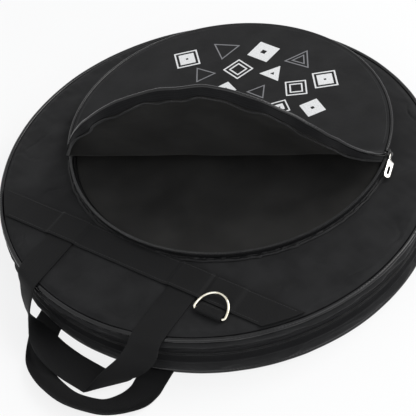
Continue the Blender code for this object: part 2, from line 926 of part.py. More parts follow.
def build():
    global collection, tools
    clear_scene()
    collection = new_collection("cymbal_bag")
    tools = new_collection("cutters")
    fabric = look("fabric", (0.028, 0.028, 0.031), 0.85)
    lining = look("lining", (0.016, 0.016, 0.018), 0.9)
    piping = look("piping", (0.05, 0.05, 0.055), 0.35)
    webbing = look("webbing", (0.014, 0.014, 0.016), 0.75)
    tape = look("zip_tape", (0.012, 0.012, 0.013), 0.8)
    metal = look("zip_metal", (0.62, 0.58, 0.48), 0.3, 1.0)
    bright = look("ring_metal", (0.75, 0.74, 0.70), 0.2, 1.0)

    back, back_lining, face, face_lining = shell_panels(fabric, lining)
    lower_gusset, upper_gusset = shell_gussets(fabric)
    back_piping = shell_piping("back_piping", clearance + piping_radius, piping)
    front_piping = shell_piping("front_piping", front - clearance - piping_radius, piping)
    spine, lower_tape, lower_chain, upper_tape, upper_chain = main_zip(tape, metal)

    floor, wall, pocket_tape, pocket_chain, rear_wall = pocket_walls(fabric, tape, metal, lining)
    rear_lid, rear_piping = pocket_rear_lid(fabric, piping)
    flap = flap_pieces(fabric, lining, piping, tape, metal)

    band = front_band(webbing)
    legs = [
        straight_leg("front_leg_left", left_leg_x, front + clearance, webbing),
        straight_leg("front_leg_right", right_leg_x, front + clearance, webbing),
    ]
    tab = ring_tab(webbing)
    ring = d_ring(bright)
    front_loop = front_handle(webbing)
    back_loop = back_handle(webbing)
    back_webbing(webbing, back, back_piping)

    pocket_frame = slider_frame(
        (pocket_x, pocket_y), pocket_zip_radius, front + pocket_zip_height, pocket_slider_angle
    )
    pocket_slider = zip_slider("pocket_slider", pocket_frame, metal)
    pocket_pull = zip_pull("pocket_pull", pocket_frame, pocket_pull_slope, False, bright)
    half_spacing = main_slider_spacing / 2 / zip_radius
    for name, angle, backward in (
        ("left", main_slider_middle + half_spacing, True),
        ("right", main_slider_middle - half_spacing, False),
    ):
        frame = slider_frame((0, 0), zip_radius, zip_height, angle)
        main_slider = zip_slider("main_slider_" + name, frame, metal)
        main_pull = zip_pull("main_pull_" + name, frame, main_pull_slope, backward, bright)
        pull_axis = joint_empty("main_pull_" + name + "_axis", main_pull.matrix_world.translation, [main_pull])
        joint_empty("main_slider_" + name + "_axis", (0, 0, zip_height), [main_slider, pull_axis])

    pocket_pull_axis = joint_empty("pocket_pull_axis", pocket_pull.matrix_world.translation, [pocket_pull])
    pocket_slider_axis = joint_empty(
        "pocket_slider_axis", (pocket_x, pocket_y, front + pocket_zip_height), [pocket_slider, pocket_pull_axis]
    )
    fold_middle = pocket_middle + fold_normal * fold_distance
    fold_middle.z = pocket_top
    flap_axis = joint_empty("flap_axis", fold_middle, flap)
    ring_axis = joint_empty("ring_axis", ring.matrix_world.translation.copy(), [ring])
    front_handle_axis = joint_empty(
        "front_handle_axis", (0, handle_axis_y, front + clearance + webbing_thickness / 2), [front_loop]
    )
    joint_empty("back_handle_axis", (0, handle_axis_y, clearance + webbing_thickness), [back_loop])
    lid = [face, face_lining, upper_gusset, front_piping, upper_tape, upper_chain, floor, wall, pocket_tape]
    lid += [pocket_chain, rear_wall, rear_lid, rear_piping, band, *legs, tab, flap_axis, ring_axis]
    lid += [front_handle_axis, pocket_slider_axis]
    joint_empty("lid_axis", (0, gusset_outer, zip_height), lid)


build()
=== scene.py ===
import math

import bmesh
import bpy
import numpy as np
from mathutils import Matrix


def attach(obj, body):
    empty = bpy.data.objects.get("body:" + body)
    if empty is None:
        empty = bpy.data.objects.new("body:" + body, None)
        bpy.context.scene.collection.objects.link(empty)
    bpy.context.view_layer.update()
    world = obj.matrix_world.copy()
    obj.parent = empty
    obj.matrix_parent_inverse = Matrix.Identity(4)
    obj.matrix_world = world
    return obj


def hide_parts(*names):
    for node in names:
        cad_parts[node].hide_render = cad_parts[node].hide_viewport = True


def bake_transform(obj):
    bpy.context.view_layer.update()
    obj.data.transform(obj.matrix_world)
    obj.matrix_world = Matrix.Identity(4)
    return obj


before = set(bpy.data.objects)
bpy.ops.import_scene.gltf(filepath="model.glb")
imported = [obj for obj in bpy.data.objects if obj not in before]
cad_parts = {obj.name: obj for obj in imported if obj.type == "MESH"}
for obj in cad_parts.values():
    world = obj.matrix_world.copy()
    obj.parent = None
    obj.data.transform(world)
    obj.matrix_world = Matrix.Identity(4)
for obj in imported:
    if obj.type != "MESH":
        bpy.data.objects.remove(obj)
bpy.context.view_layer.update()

scene = bpy.context.scene
tau = 2 * math.pi

upward = np.array([0.0, 0.0, 1.0])

# Sizes of the bag, in metres, as its solids have them
bag = {
    "front": 0.0666,  # height of the front face
    "panelRim": 0.2747,
    "gussetInner": 0.273,
    "gussetOuter": 0.2795,
    "zipRadius": 0.276,
    "zipHeight": 0.035,
    "pipeRing": 0.278,  # radius of both rings of piping
    "pipeRadius": 0.003,
    "web": 0.038,  # width of the webbing
    "webThick": 0.0022,
    "bandY": -0.1792,
    "legs": (-0.098, 0.082),  # middle of each handle's legs
    "legTop": -0.1632,
}
pocket = {
    "spot": (-0.0055, 0.0475),
    "radius": 0.2115,
    "top": 0.0886,
    "pipeRadius": 0.0022,
    "zipRadius": 0.2093,
    "zipHeight": 0.0781,
    "foldStart": math.radians(10.7),
    "foldEnd": math.radians(221),
}


# Material helpers

def newLook(name):
    # A new material with its node tree and its shader
    look = bpy.data.materials.new(name)
    look.use_nodes = True
    tree = look.node_tree
    return look, tree, tree.nodes["Principled BSDF"]


def addNode(tree, kind, inputs=None, **settings):
    # One node; an input given as a socket is linked, any other value is set
    made = tree.nodes.new("ShaderNode" + kind)
    for key, value in settings.items():
        setattr(made, key, value)
    for key, value in (inputs or {}).items():
        if isinstance(value, bpy.types.NodeSocket):
            tree.links.new(value, made.inputs[key])
        else:
            made.inputs[key].default_value = value
    return made


def maths(tree, operation, first, second=0.5, third=0.5):
    # The result of one Math node on up to three numbers or sockets
    inputs = {0: first, 1: second, 2: third}
    return addNode(tree, "Math", inputs, operation=operation).outputs[0]


def speckle(tree, place, scale, detail):
    # Noise from 0 to 1 with about scale waves to the metre
    inputs = {"Vector": place, "Scale": scale, "Detail": detail}
    return addNode(tree, "TexNoise", inputs).outputs[0]


def ramp(tree, value, stops):
    # A colour ramp through two stops, each a place and a colour
    made = addNode(tree, "ValToRGB", {0: value})
    for element, (place, colour) in zip(made.color_ramp.elements, stops):
        element.position = place
        element.color = (*colour, 1)
    return made.outputs[0]


def metreUv(tree):
    # The piece's own map, which counts metres along and across the cloth
    return addNode(tree, "UVMap", uv_map="cloth").outputs[0]


def split(tree, vector):
    # The first two parts of a vector
    parts = addNode(tree, "SeparateXYZ", {0: vector})
    return parts.outputs[0], parts.outputs[1]


def stripes(tree, value, pitch, phase=0.0):
    # A sine of the distance, from 0 to 1, one wave for each pitch
    turned = maths(tree, "MULTIPLY_ADD", value, tau / pitch, phase)
    return maths(tree, "MULTIPLY_ADD", maths(tree, "SINE", turned), 0.5, 0.5)


def bumpInto(tree, shader, height, depth, strength=1.0, after=None):
    # Bump of a height from 0 to 1 times the depth in metres, over an earlier bump if there is one
    inputs = {"Height": height, "Distance": depth, "Strength": strength}
    if after is not None:
        inputs["Normal"] = after
    made = addNode(tree, "Bump", inputs)
    tree.links.new(made.outputs[0], shader.inputs["Normal"])
    return made.outputs[0]


def paint(tree, shader, colour, rough):
    # Links the colour; the roughness is linked where it varies, and set where it is one number
    tree.links.new(colour, shader.inputs["Base Color"])
    if isinstance(rough, float):
        shader.inputs["Roughness"].default_value = rough
    else:
        tree.links.new(rough, shader.inputs["Roughness"])


def setGloss(shader, level):
    # How strongly the surface reflects; 0.5 is plain plastic
    shader.inputs["Specular IOR Level"].default_value = level


def setSheen(shader, weight, roughness, tint):
    # The soft glow of loose fibres at grazing angles
    shader.inputs["Sheen Weight"].default_value = weight
    shader.inputs["Sheen Roughness"].default_value = roughness
    shader.inputs["Sheen Tint"].default_value = (*tint, 1)


# Mesh helpers

def unit(vectors):
    # Each vector divided by its own length
    return vectors / np.maximum(np.linalg.norm(vectors, axis=-1, keepdims=True), 1e-12)


def runLength(path):
    # Metres along a path at each of its points: the running sum of its steps
    return np.concatenate([[0], np.cumsum(np.linalg.norm(np.diff(path, axis=0), axis=1))])


def pointsOf(mesh):
    # A mesh's points as one array
    spots = np.zeros(3 * len(mesh.vertices), dtype=np.float32)
    mesh.vertices.foreach_get("co", spots)
    return spots.reshape(-1, 3)


def faceOutwards(mesh, weld=0.0):
    # Merges points closer than the weld, and turns all faces if the volume they hold is negative
    shape = bmesh.new()
    shape.from_mesh(mesh)
    if weld:
        bmesh.ops.remove_doubles(shape, verts=shape.verts[:], dist=weld)
    if shape.calc_volume(signed=True) < 0:
        bmesh.ops.reverse_faces(shape, faces=shape.faces[:])
    shape.to_mesh(mesh)
    shape.free()


def meshPiece(name, verts, faces, look, uv=None, sharp=None):
    # A piece from arrays of points and faces; uv gives one pair for each point, and edges that
    # bend by more than sharp degrees are drawn sharp
    mesh = bpy.data.meshes.new(name)
    faces = faces if isinstance(faces, list) else faces.tolist()
    mesh.from_pydata(np.asarray(verts).reshape(-1, 3).tolist(), [], faces)
    if uv is not None:
        layer = mesh.uv_layers.new(name="cloth")
        corners = np.zeros(len(mesh.loops), dtype=np.int64)
        mesh.loops.foreach_get("vertex_index", corners)
        pairs = np.asarray(uv, dtype=np.float32).reshape(-1, 2)
        layer.data.foreach_set("uv", pairs[corners].ravel())
    obj = bpy.data.objects.new(name, mesh)
    scene.collection.objects.link(obj)
    faceOutwards(mesh)
    mesh.shade_smooth()
    if sharp:
        mesh.set_sharp_from_angle(angle=math.radians(sharp))
    mesh.materials.append(look)
    return obj


def quads(rows, columns, start=0, closedRows=False, closedColumns=False):
    # The faces of a grid of points numbered row by row
    index = np.arange(rows * columns).reshape(rows, columns) + start
    if closedRows:
        index = np.vstack([index, index[:1]])
    if closedColumns:
        index = np.hstack([index, index[:, :1]])
    corners = [index[:-1, :-1], index[1:, :-1], index[1:, 1:], index[:-1, 1:]]
    return np.stack(corners, axis=-1).reshape(-1, 4)


def gridNormals(points):
    # Unit normals of a grid of points, from the cross product of its two directions
    return unit(np.cross(np.gradient(points, axis=0), np.gradient(points, axis=1)))


def clothSheet(name, points, thickness, look, uv, normals=None):
    # Cloth with a thickness: the grid of points is its outer face, the inner face lies a thickness
    # below it along the normals, and rims join the two
    if normals is None:
        normals = gridNormals(points)
    rows, columns = points.shape[:2]
    count = rows * columns
    index = np.arange(count).reshape(rows, columns)
    faces = [quads(rows, columns), quads(rows, columns, count)[:, ::-1]]
    for loop in (index[:, 0], index[::-1, -1], index[-1, :], index[0, ::-1]):
        rim = [loop[:-1], loop[:-1] + count, loop[1:] + count, loop[1:]]
        faces.append(np.stack(rim, axis=-1))
    verts = np.concatenate([points.reshape(-1, 3), (points - normals * thickness).reshape(-1, 3)])
    uvs = np.concatenate([np.asarray(uv).reshape(-1, 2)] * 2)
    return meshPiece(name, verts, np.concatenate(faces), look, uvs, 50)


def loopPiece(name, points, look, uv, closed):
    # Loops of points joined one to the next; an open run gets a face over each of its ends
    rows, columns = points.shape[:2]
    faces = quads(rows, columns, 0, closed, True).tolist()
    if not closed:
        end = np.arange(columns)
        faces += [end[::-1].tolist(), (end + (rows - 1) * columns).tolist()]
    return meshPiece(name, points, faces, look, uv)


def turnedRing(name, profile, look, angles, wave, centre=(0, 0), closed=True):
    # A closed profile of (radius, height) pairs carried round an arc or a whole turn, pushed out
    # by wave(angle, radius, height). The map runs along the arc and round the profile
    profile = np.asarray(profile, float)
    angle = np.asarray(angles)[:, None]
    radius = np.repeat(profile[None, :, 0], len(angles), axis=0)
    height = np.repeat(profile[None, :, 1], len(angles), axis=0)
    radius = radius + wave(angle, radius, height)
    x, y = centre[0] + radius * np.cos(angle), centre[1] + radius * np.sin(angle)
    around = runLength(profile)[None, :]
    uv = np.stack(np.broadcast_arrays(angle * profile[:, 0].mean(), around), axis=-1)
    return loopPiece(name, np.stack([x, y, height], axis=-1), look, uv, closed)


def roundTube(name, path, radius, look, closed=False, sides=14):
    # A round cord: at each point of the path a circle of the radius in the plane across it
    if closed:
        way = unit(np.roll(path, -1, axis=0) - np.roll(path, 1, axis=0))
    else:
        way = unit(np.gradient(path, axis=0))
    side = unit(np.cross(way, upward))
    rise = np.cross(side, way)
    turn = np.linspace(0, tau, sides, endpoint=False)[None, :]
    ring = side[:, None] * np.cos(turn)[..., None] + rise[:, None] * np.sin(turn)[..., None]
    uv = np.stack(np.broadcast_arrays(runLength(path)[:, None], turn * radius), axis=-1)
    return loopPiece(name, path[:, None] + ring * radius, look, uv, closed)


def noise2(x, y, seed, octaves=4, size=0.06):
    # Smooth seeded noise: sums of sines whose directions and phases are drawn from the seed
    draw = np.random.default_rng(seed)
    total = np.zeros(np.broadcast(x, y).shape)
    for octave in range(octaves):
        for _ in range(4):
            way = draw.uniform(0, tau)
            wave = tau / (size * 0.62**octave * draw.uniform(0.7, 1.4))
            shift = draw.uniform(0, tau)
            crossing = x * np.cos(way) + y * np.sin(way)
            total = total + np.sin(wave * crossing + shift) * 0.55**octave
    return total / 4


def smoothStep(value, low, high):
    # 0 up to low, 1 from high on, and three times the share squared less twice its cube between
    share = np.clip((value - low) / (high - low), 0, 1)
    return share * share * (3 - 2 * share)


# Looks

oxfordFinish = {
    "thread": 0.0011,
    "colour": (0.0086, 0.0086, 0.0090),
    # The lighter colour of the mottle: partly faded cloth, partly painted sheen
    "fadedAndSheen": (0.0180, 0.0180, 0.0185),
    "roughness": (0.60, 0.78),
    "depth": 0.00016,
    "gloss": 0.10,
}


def wovenCloth(name, finish, sheen, fleck=1.0, blotch=26):
    # Plain weave: warp and weft sines, a checker of both saying which thread lies on top; broad
    # noise mottles the colour, part random fading and part painted sheen, and fine noise flecks it
    look, tree, shader = newLook(name)
    place = metreUv(tree)
    along, across = split(tree, place)
    thread = finish["thread"]
    checkAlong = maths(tree, "SUBTRACT", stripes(tree, along, thread * 2, 0.8), 0.5)
    checkAcross = maths(tree, "SUBTRACT", stripes(tree, across, thread * 2, 0.8), 0.5)
    checker = maths(tree, "MULTIPLY", checkAlong, checkAcross)
    onTop = maths(tree, "MULTIPLY_ADD", checker, 2.0, 0.5)
    over = maths(tree, "MULTIPLY", stripes(tree, along, thread), onTop)
    below = maths(tree, "SUBTRACT", 1.0, onTop)
    under = maths(tree, "MULTIPLY", stripes(tree, across, thread), below)
    weave = maths(tree, "ADD", over, under)
    broad = speckle(tree, place, blotch, 5.0)
    fine = speckle(tree, place, 900.0, 2.0)
    mixed = maths(tree, "MULTIPLY_ADD", fine, 0.4 * fleck, -0.35)
    # The broad mottle is partly random fading and partly painted sheen: lighter patches that stand
    # in for uneven shine
    mixed = maths(tree, "MULTIPLY_ADD", broad, 1.3, mixed)
    mixed = maths(tree, "MULTIPLY_ADD", weave, 0.22, mixed)
    colour = ramp(tree, mixed, [(0.30, finish["colour"]), (0.85, finish["fadedAndSheen"])])
    low, high = finish["roughness"]
    paint(tree, shader, colour, maths(tree, "MULTIPLY_ADD", broad, high - low, low))
    soft = bumpInto(tree, shader, broad, 0.0018, 0.8)
    dimple = maths(tree, "MULTIPLY_ADD", fine, 0.5, weave)
    bumpInto(tree, shader, dimple, finish["depth"], 1.0, soft)
    setSheen(shader, *sheen)
    setGloss(shader, finish["gloss"])
    return look


shellCloth = wovenCloth("shellCloth", oxfordFinish, (0.035, 0.45, (0.80, 0.80, 0.82)))
innerFinish = {
    "thread": 0.0007,
    "colour": (0.0138, 0.0135, 0.0130),
    # The lighter colour of the mottle: partly faded cloth, partly painted sheen
    "fadedAndSheen": (0.0300, 0.0293, 0.0281),
    "roughness": (0.46, 0.62),
    "depth": 0.00008,
    "gloss": 0.15,
}
innerCloth = wovenCloth("innerCloth", innerFinish, (0.04, 0.5, (0.82, 0.80, 0.77)), 0.5, 14)
webFinish = {
    "rib": 0.0017,
    "wale": 0.0048,
    "colour": (0.0062, 0.0062, 0.0064),
    "worn": (0.0115, 0.0115, 0.0119),
    "depth": 0.00020,
}


def webbingLook():
    # Herringbone: ribs along the strap, bent one way and the other by a zigzag across it
    look, tree, shader = newLook("strapWebbing")
    place = metreUv(tree)
    along, across = split(tree, place)
    zigzag = maths(tree, "PINGPONG", across, webFinish["wale"] / 2)
    slanted = maths(tree, "MULTIPLY_ADD", zigzag, 0.4, along)
    rib = stripes(tree, slanted, webFinish["rib"])
    wale = stripes(tree, across, webFinish["wale"] / 2)
    broad = speckle(tree, place, 30.0, 4.0)
    fine = speckle(tree, place, 1300.0, 2.0)
    height = maths(tree, "MULTIPLY_ADD", wale, 0.04, rib)
    mixed = maths(tree, "MULTIPLY_ADD", rib, 0.25, maths(tree, "MULTIPLY", broad, 0.75))
    colour = ramp(tree, mixed, [(0.2, webFinish["colour"]), (0.95, webFinish["worn"])])
    paint(tree, shader, colour, maths(tree, "MULTIPLY_ADD", broad, 0.2, 0.55))
    height = maths(tree, "MULTIPLY_ADD", fine, 0.3, height)
    bumpInto(tree, shader, height, webFinish["depth"], 0.8)
    setSheen(shader, 0.03, 0.4, (0.8, 0.8, 0.82))
    setGloss(shader, 0.11)
    return look


def pipingLook():
    # Smooth coated cord with a tight highlight and shallow rubbed dents
    look, tree, shader = newLook("pipingCoat")
    place = metreUv(tree)
    along, _ = split(tree, place)
    broad = speckle(tree, place, 60.0, 4.0)
    gather = stripes(tree, along, 0.0042)
    stops = [(0.3, (0.0045, 0.0045, 0.0050)), (0.8, (0.0105, 0.0105, 0.0112))]
    colour = ramp(tree, broad, stops)
    paint(tree, shader, colour, maths(tree, "MULTIPLY_ADD", broad, 0.16, 0.07))
    height = maths(tree, "MULTIPLY_ADD", gather, 0.35, broad)
    bumpInto(tree, shader, height, 0.00030, 0.7)
    setGloss(shader, 0.30)
    return look


def tapeLook(name, rough, gloss):
    # Knitted tape: the product of fine sines along and across it, with a speckle
    look, tree, shader = newLook(name)
    place = metreUv(tree)
    along, across = split(tree, place)
    knit = maths(tree, "MULTIPLY", stripes(tree, along, 0.0009), stripes(tree, across, 0.0012))
    fine = speckle(tree, place, 700.0, 3.0)
    mixed = maths(tree, "MULTIPLY_ADD", knit, 0.5, maths(tree, "MULTIPLY", fine, 0.5))
    stops = [(0.1, (0.0050, 0.0050, 0.0054)), (0.8, (0.0145, 0.0145, 0.0150))]
    paint(tree, shader, ramp(tree, mixed, stops), rough)
    bumpInto(tree, shader, knit, 0.0002, 0.8)
    setSheen(shader, 0.03, 0.4, (0.8, 0.8, 0.85))
    setGloss(shader, gloss)
    return look


def coilLook():
    # Moulded coil: a dark plastic with rubbed, lighter specks
    look, tree, shader = newLook("zipCoil")
    coords = addNode(tree, "TexCoord").outputs["Object"]
    fine = speckle(tree, coords, 500.0, 3.0)
    colour = ramp(tree, fine, [(0.3, (0.016, 0.016, 0.0165)), (0.8, (0.050, 0.050, 0.051))])
    paint(tree, shader, colour, maths(tree, "MULTIPLY_ADD", fine, 0.2, 0.30))
    setGloss(shader, 0.4)
    return look


def metalLook(name, colour, worn, low, high):
    # Plated metal: cloudy roughness, hairline scratches and slightly darker rubbed spots
    look, tree, shader = newLook(name)
    coords = addNode(tree, "TexCoord").outputs["Object"]
    cloud = speckle(tree, coords, 160.0, 5.0)
    streak = addNode(tree, "Mapping", {"Vector": coords, "Scale": (900.0, 60.0, 900.0)}).outputs[0]
    hair = speckle(tree, streak, 3.0, 3.0)
    rough = maths(tree, "MULTIPLY_ADD", cloud, high - low, low)
    rough = maths(tree, "MULTIPLY_ADD", hair, 0.08, rough)
    paint(tree, shader, ramp(tree, cloud, [(0.3, worn), (0.65, colour)]), rough)
    shader.inputs["Metallic"].default_value = 1.0
    bumpInto(tree, shader, maths(tree, "MULTIPLY_ADD", hair, 0.5, cloud), 0.00006, 0.6)
    return look


def inkLook(name, colour):
    # Screen ink: matt, with the weave just showing through it
    look, tree, shader = newLook(name)
    place = metreUv(tree)
    along, across = split(tree, place)
    weave = maths(tree, "MULTIPLY", stripes(tree, along, 0.0011), stripes(tree, across, 0.0011))
    fine = speckle(tree, place, 600.0, 3.0)
    mixed = maths(tree, "MULTIPLY_ADD", weave, 0.35, fine)
    dark = tuple(0.72 * part for part in colour)
    paint(tree, shader, ramp(tree, mixed, [(0.35, dark), (0.6, colour)]), 0.6)
    bumpInto(tree, shader, mixed, 0.0001, 0.5)
    return look


strapWebbing = webbingLook()
pipingCoat = pipingLook()
zipTape = tapeLook("zipTape", 0.62, 0.05)
hemTape = tapeLook("hemTape", 0.40, 0.14)
zipCoil = coilLook()
ringMetal = metalLook("ringMetal", (0.83, 0.80, 0.70), (0.62, 0.57, 0.45), 0.12, 0.26)
pullMetal = metalLook("pullMetal", (0.80, 0.79, 0.76), (0.52, 0.50, 0.47), 0.16, 0.34)
sliderMetal = metalLook("sliderMetal", (0.20, 0.20, 0.20), (0.09, 0.09, 0.09), 0.26, 0.42)
threadLook = inkLook("stitchThread", (0.022, 0.022, 0.023))
whiteInk = inkLook("whiteInk", (0.78, 0.78, 0.78))
greyInk = inkLook("greyInk", (0.19, 0.19, 0.20))
print("looks made")


# Camera: a long lens low over the handles' side, as the photograph has it
camera = bpy.data.objects.new("camera", bpy.data.cameras.new("camera"))
scene.collection.objects.link(camera)
camera.location = (0.59219, -0.72387, 0.97356)
camera.rotation_euler = tuple(math.radians(turn) for turn in (42.766, 7.388, 32.51))
camera.data.lens = 87.73
camera.data.sensor_width = 36
camera.data.clip_start = 0.05
scene.camera = camera


# The two padded faces of the shell

def paddedDisc(name, radii, face, back, look, steps, centre=(0, 0)):
    # A disc as a padded cloth: face(x, y, r) and back(x, y, r) give the heights of its two sides
    # over rings of the radii; the poles are welded
    turn = np.linspace(0, tau, steps, endpoint=False)[:, None]
    radius = np.asarray(radii)[None, :] + 0 * turn
    x, y = radius * np.cos(turn), radius * np.sin(turn)
    spots = [centre[0] + x, centre[1] + y]
    upper = np.stack([*spots, face(x, y, radius)], axis=-1)
    lower = np.stack([*spots, back(x, y, radius)], axis=-1)[:, ::-1]
    points = np.concatenate([upper, lower], axis=1)
    obj = meshPiece(name, points, quads(*points.shape[:2], 0, True), look, points[..., :2])
    faceOutwards(obj.data, 1e-6)
    obj.data.set_sharp_from_angle(angle=math.radians(60))
    return obj


lidShape = {
    "puff": 0.0018,
    "ripple": 0.0016,
    "crease": 0.0013,
    "dip": 0.0004,  # gathers beside the piping, and how many go round
    "dips": 96,
    "edgeDrop": 0.0016,
    "edgeStart": 0.267,
    "back": 0.0579,  # height of the lid's inner side, and how far its edge rolls up
    "roll": 0.0023,
    "steps": 540,
}
baseShape = {
    "face": 0.0087,  # height of the base's inner side
    "dent": 0.0030,  # depth of the straps' bed
    "legEnd": -0.160,
    "slant": 0.020,  # how far the left leg moves inwards, and from where to where
    "slantFrom": 0.205,
    "slantTo": 0.262,
}
tabShape = {
    "x": 0.128,
    "wide": 0.034,
    "thick": 0.0014,
    "sway": 0.00004,
    "barY": -0.212,
    "barHeight": 0.0706,
    "endHeight": 0.0693,
    "bend": 0.0024,  # radius of the tab's inner side round the bar
}


def lidRoom(x, y):
    # 1 where the lid's cloth is free to rise, 0 under the straps and the pocket that are sewn to it
    toBand = np.abs(y - bag["bandY"]) - bag["web"] / 2
    free = smoothStep(toBand, 0.002, 0.022)
    for legX in bag["legs"]:
        beside = np.maximum(np.abs(x - legX) - bag["web"] / 2, y - bag["bandY"])
        free = free * smoothStep(beside, 0.001, 0.016)
    beside = np.maximum(np.abs(x - tabShape["x"]) - tabShape["wide"] / 2, y - bag["bandY"])
    beside = np.maximum(beside, -0.222 - y)
    free = free * smoothStep(beside, 0.001, 0.012)
    away = np.hypot(x - pocket["spot"][0], y - pocket["spot"][1]) - pocket["radius"]
    return free * smoothStep(away, -0.006, 0.016)


def lidHeight(x, y, radius):
    # Flat under what is sewn on; between those a low puff with ripples and creases, which are
    # valleys along the zero lines of a slow noise, then gathers and a rolled rim
    free = lidRoom(x, y)
    ripple = noise2(x, y, 11, 4, 0.075)
    line = np.exp(-((noise2(x, y, 17, 2, 0.085) / 0.05) ** 2))
    valley = line * smoothStep(noise2(x, y, 19, 2, 0.06), 0.0, 0.35)
    rise = lidShape["puff"] * 0.6 + lidShape["ripple"] * ripple - lidShape["crease"] * valley
    rim = smoothStep(radius, lidShape["edgeStart"], bag["panelRim"])
    gather = np.sin(np.arctan2(y, x) * lidShape["dips"] + 3 * ripple)
    dip = lidShape["dip"] * smoothStep(radius, 0.255, 0.268) * gather
    puffed = bag["front"] - 0.00002 + free * (rise + dip) * (1 - rim)
    return puffed - lidShape["edgeDrop"] * rim**1.5


def level(height):
    # A flat side at one height
    return lambda x, y, radius: height + 0 * x


def levelRolled(low, lift):
    # A flat side whose outermost ring is rolled up by the lift
    start = bag["panelRim"] - 0.003
    return lambda x, y, radius: low + lift * smoothStep(radius, start, bag["panelRim"])


def backLegX(legX, y):
    # The middle of a back leg: the left one slants inwards on its way out from under the bag
    moved = smoothStep(-y, baseShape["slantFrom"], baseShape["slantTo"])
    return legX + baseShape["slant"] * moved * (legX < 0)


def baseHeight(x, y, radius):
    # The back face lies flat on the floor and is pressed in over its own sewn straps
    rim = smoothStep(radius, lidShape["edgeStart"], bag["panelRim"])
    dent = 1 - smoothStep(np.abs(y - bag["bandY"]) - bag["web"] / 2, 0.0, 0.005)
    for legX in bag["legs"]:
        beside = np.abs(x - backLegX(legX, y)) - bag["web"] / 2
        beside = np.maximum(beside, y - baseShape["legEnd"])
        dent = np.maximum(dent, 1 - smoothStep(beside, 0.0, 0.005))
    return baseShape["dent"] * dent + lidShape["edgeDrop"] * rim**1.5 * (1 - dent)


inside, edge = np.linspace(0, 0.255, 86), np.linspace(0.2562, bag["panelRim"], 17)
panelRings = np.concatenate([inside, edge])
lidSides = (lidHeight, levelRolled(lidShape["back"], lidShape["roll"]))
lidCloth = paddedDisc("lidCloth", panelRings, *lidSides, shellCloth, lidShape["steps"])
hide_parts("front_panel")
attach(lidCloth, "main_lid")
baseSides = (levelRolled(baseShape["face"], -lidShape["roll"]), baseHeight)
baseCloth = paddedDisc("baseCloth", panelRings, *baseSides, shellCloth, lidShape["steps"])
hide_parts("back_panel")
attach(baseCloth, "bag_base")


def liningHeight(height, seed, swell):
    # Lining cloth: a low quilted swell and small creases, still at its rim
    def side(x, y, radius):
        quiet = 1 - smoothStep(radius, 0.20, 0.268)
        return height + swell * quiet * noise2(x, y, seed, 3, 0.09)

    return side


liningRings = np.linspace(0, bag["gussetInner"] - 0.0005, 70)
for name, seen, hidden, swell, body, node in (
    # Heights of the side that is seen and of the hidden one, and the swell towards the inside
    ("lidLining", 0.0563, 0.0573, -0.0006, "main_lid", "front_lining"),
    ("baseLining", 0.0103, 0.0093, 0.0006, "bag_base", "back_lining"),
):
    sides = [level(hidden), liningHeight(seen, 21, swell)]
    if seen > hidden:
        sides.reverse()
    lining = paddedDisc(name, liningRings, *sides, innerCloth, 300)
    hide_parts(node)
    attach(lining, body)
print("faces made")


# The side walls, piping and the main zip

gussetShape = {"roll": 0.0023, "crease": 0.0010, "wrinkle": 0.0017, "steps": 900}
sideFolds = (
    # Angle in degrees; in metres the height, half width, length along the rim and size of each
    # ridge, with its slope as the third number
    (-52, 0.024, 0.34, 0.0042, 0.070, 0.0030),
    (-38, 0.020, 0.42, 0.0036, 0.060, 0.0026),
    (-24, 0.030, -0.30, 0.0045, 0.060, 0.0022),
    (-70, 0.016, 0.22, 0.0040, 0.075, 0.0024),
    (-95, 0.018, -0.25, 0.0042, 0.070, 0.0020),
    (-118, 0.022, 0.30, 0.0040, 0.060, 0.0022),
    (-150, 0.026, 0.28, 0.0042, 0.080, 0.0022),
    (-2, 0.022, 0.35, 0.0040, 0.070, 0.0022),
    (28, 0.026, -0.3, 0.0042, 0.080, 0.0022),
    (60, 0.024, 0.3, 0.0042, 0.080, 0.0020),
    (125, 0.024, -0.3, 0.0042, 0.080, 0.0022),
    (160, 0.022, 0.3, 0.0042, 0.080, 0.0022),
)
roundTurns = np.linspace(0, tau, gussetShape["steps"], endpoint=False)


def slantFolds(angle, height):
    # Ridges that slant across the side wall: a bell across each ridge times a bell along it
    total = 0 * (angle + height)
    for degrees, middle, slope, half, reach, size in sideFolds:
        away = np.angle(np.exp(1j * (angle - math.radians(degrees)))) * bag["gussetOuter"]
        across = (height - middle - slope * away) / half
        total = total + size * np.exp(-(across**2) - (away / reach) ** 2 * 4)
    return total


def gussetWave(low, high, seamEnd, seed):
    # Outward push by height: a full roll next to the piping, a tight crease at the seam below it,
    # then slack cloth with slanting wrinkles; only the outer side moves
    def wave(angle, radius, height):
        share = (height - low) / (high - low)
        if seamEnd == "low":
            share = 1 - share
        outer = smoothStep(radius, bag["gussetInner"] + 0.003, bag["gussetOuter"] - 0.0005)
        roll = gussetShape["roll"] * np.sin(np.pi * np.clip((share - 0.22) / 0.80, 0, 1)) ** 0.8
        crease = -gussetShape["crease"] * np.exp(-(((share - 0.17) / 0.09) ** 2))
        arc = angle * bag["gussetOuter"]
        slack = noise2(arc + 0.9 * height, height * 2.4, seed, 4, 0.055)
        wide = noise2(arc, height * 0.5, seed + 5, 2, 0.22)
        hump = np.sin(np.pi * np.clip(share, 0, 1))
        push = roll * (1 + 0.25 * wide) + crease + gussetShape["wrinkle"] * slack * hump
        return outer * (push + np.clip(hump * 1.6, 0, 1) * slantFolds(angle, height))

    return wave


def gussetProfile(low, high):
    # Closed profile, down the outer side and back up the inner one
    outer = [(bag["gussetOuter"], height) for height in np.linspace(high, low, 17)]
    inner = [(bag["gussetInner"], height) for height in (low, (low + high) / 2, high)]
    return outer + inner


for name, low, high, seamEnd, seed, body, node in (
    ("lidSide", 0.0480, 0.0600, "high", 31, "main_lid", "upper_gusset"),
    ("baseSide", 0.0066, 0.0220, "low", 47, "bag_base", "lower_gusset"),
):
    wave = gussetWave(low, high, seamEnd, seed)
    side = turnedRing(name, gussetProfile(low, high), shellCloth, roundTurns, wave)
    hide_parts(node)
    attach(side, body)


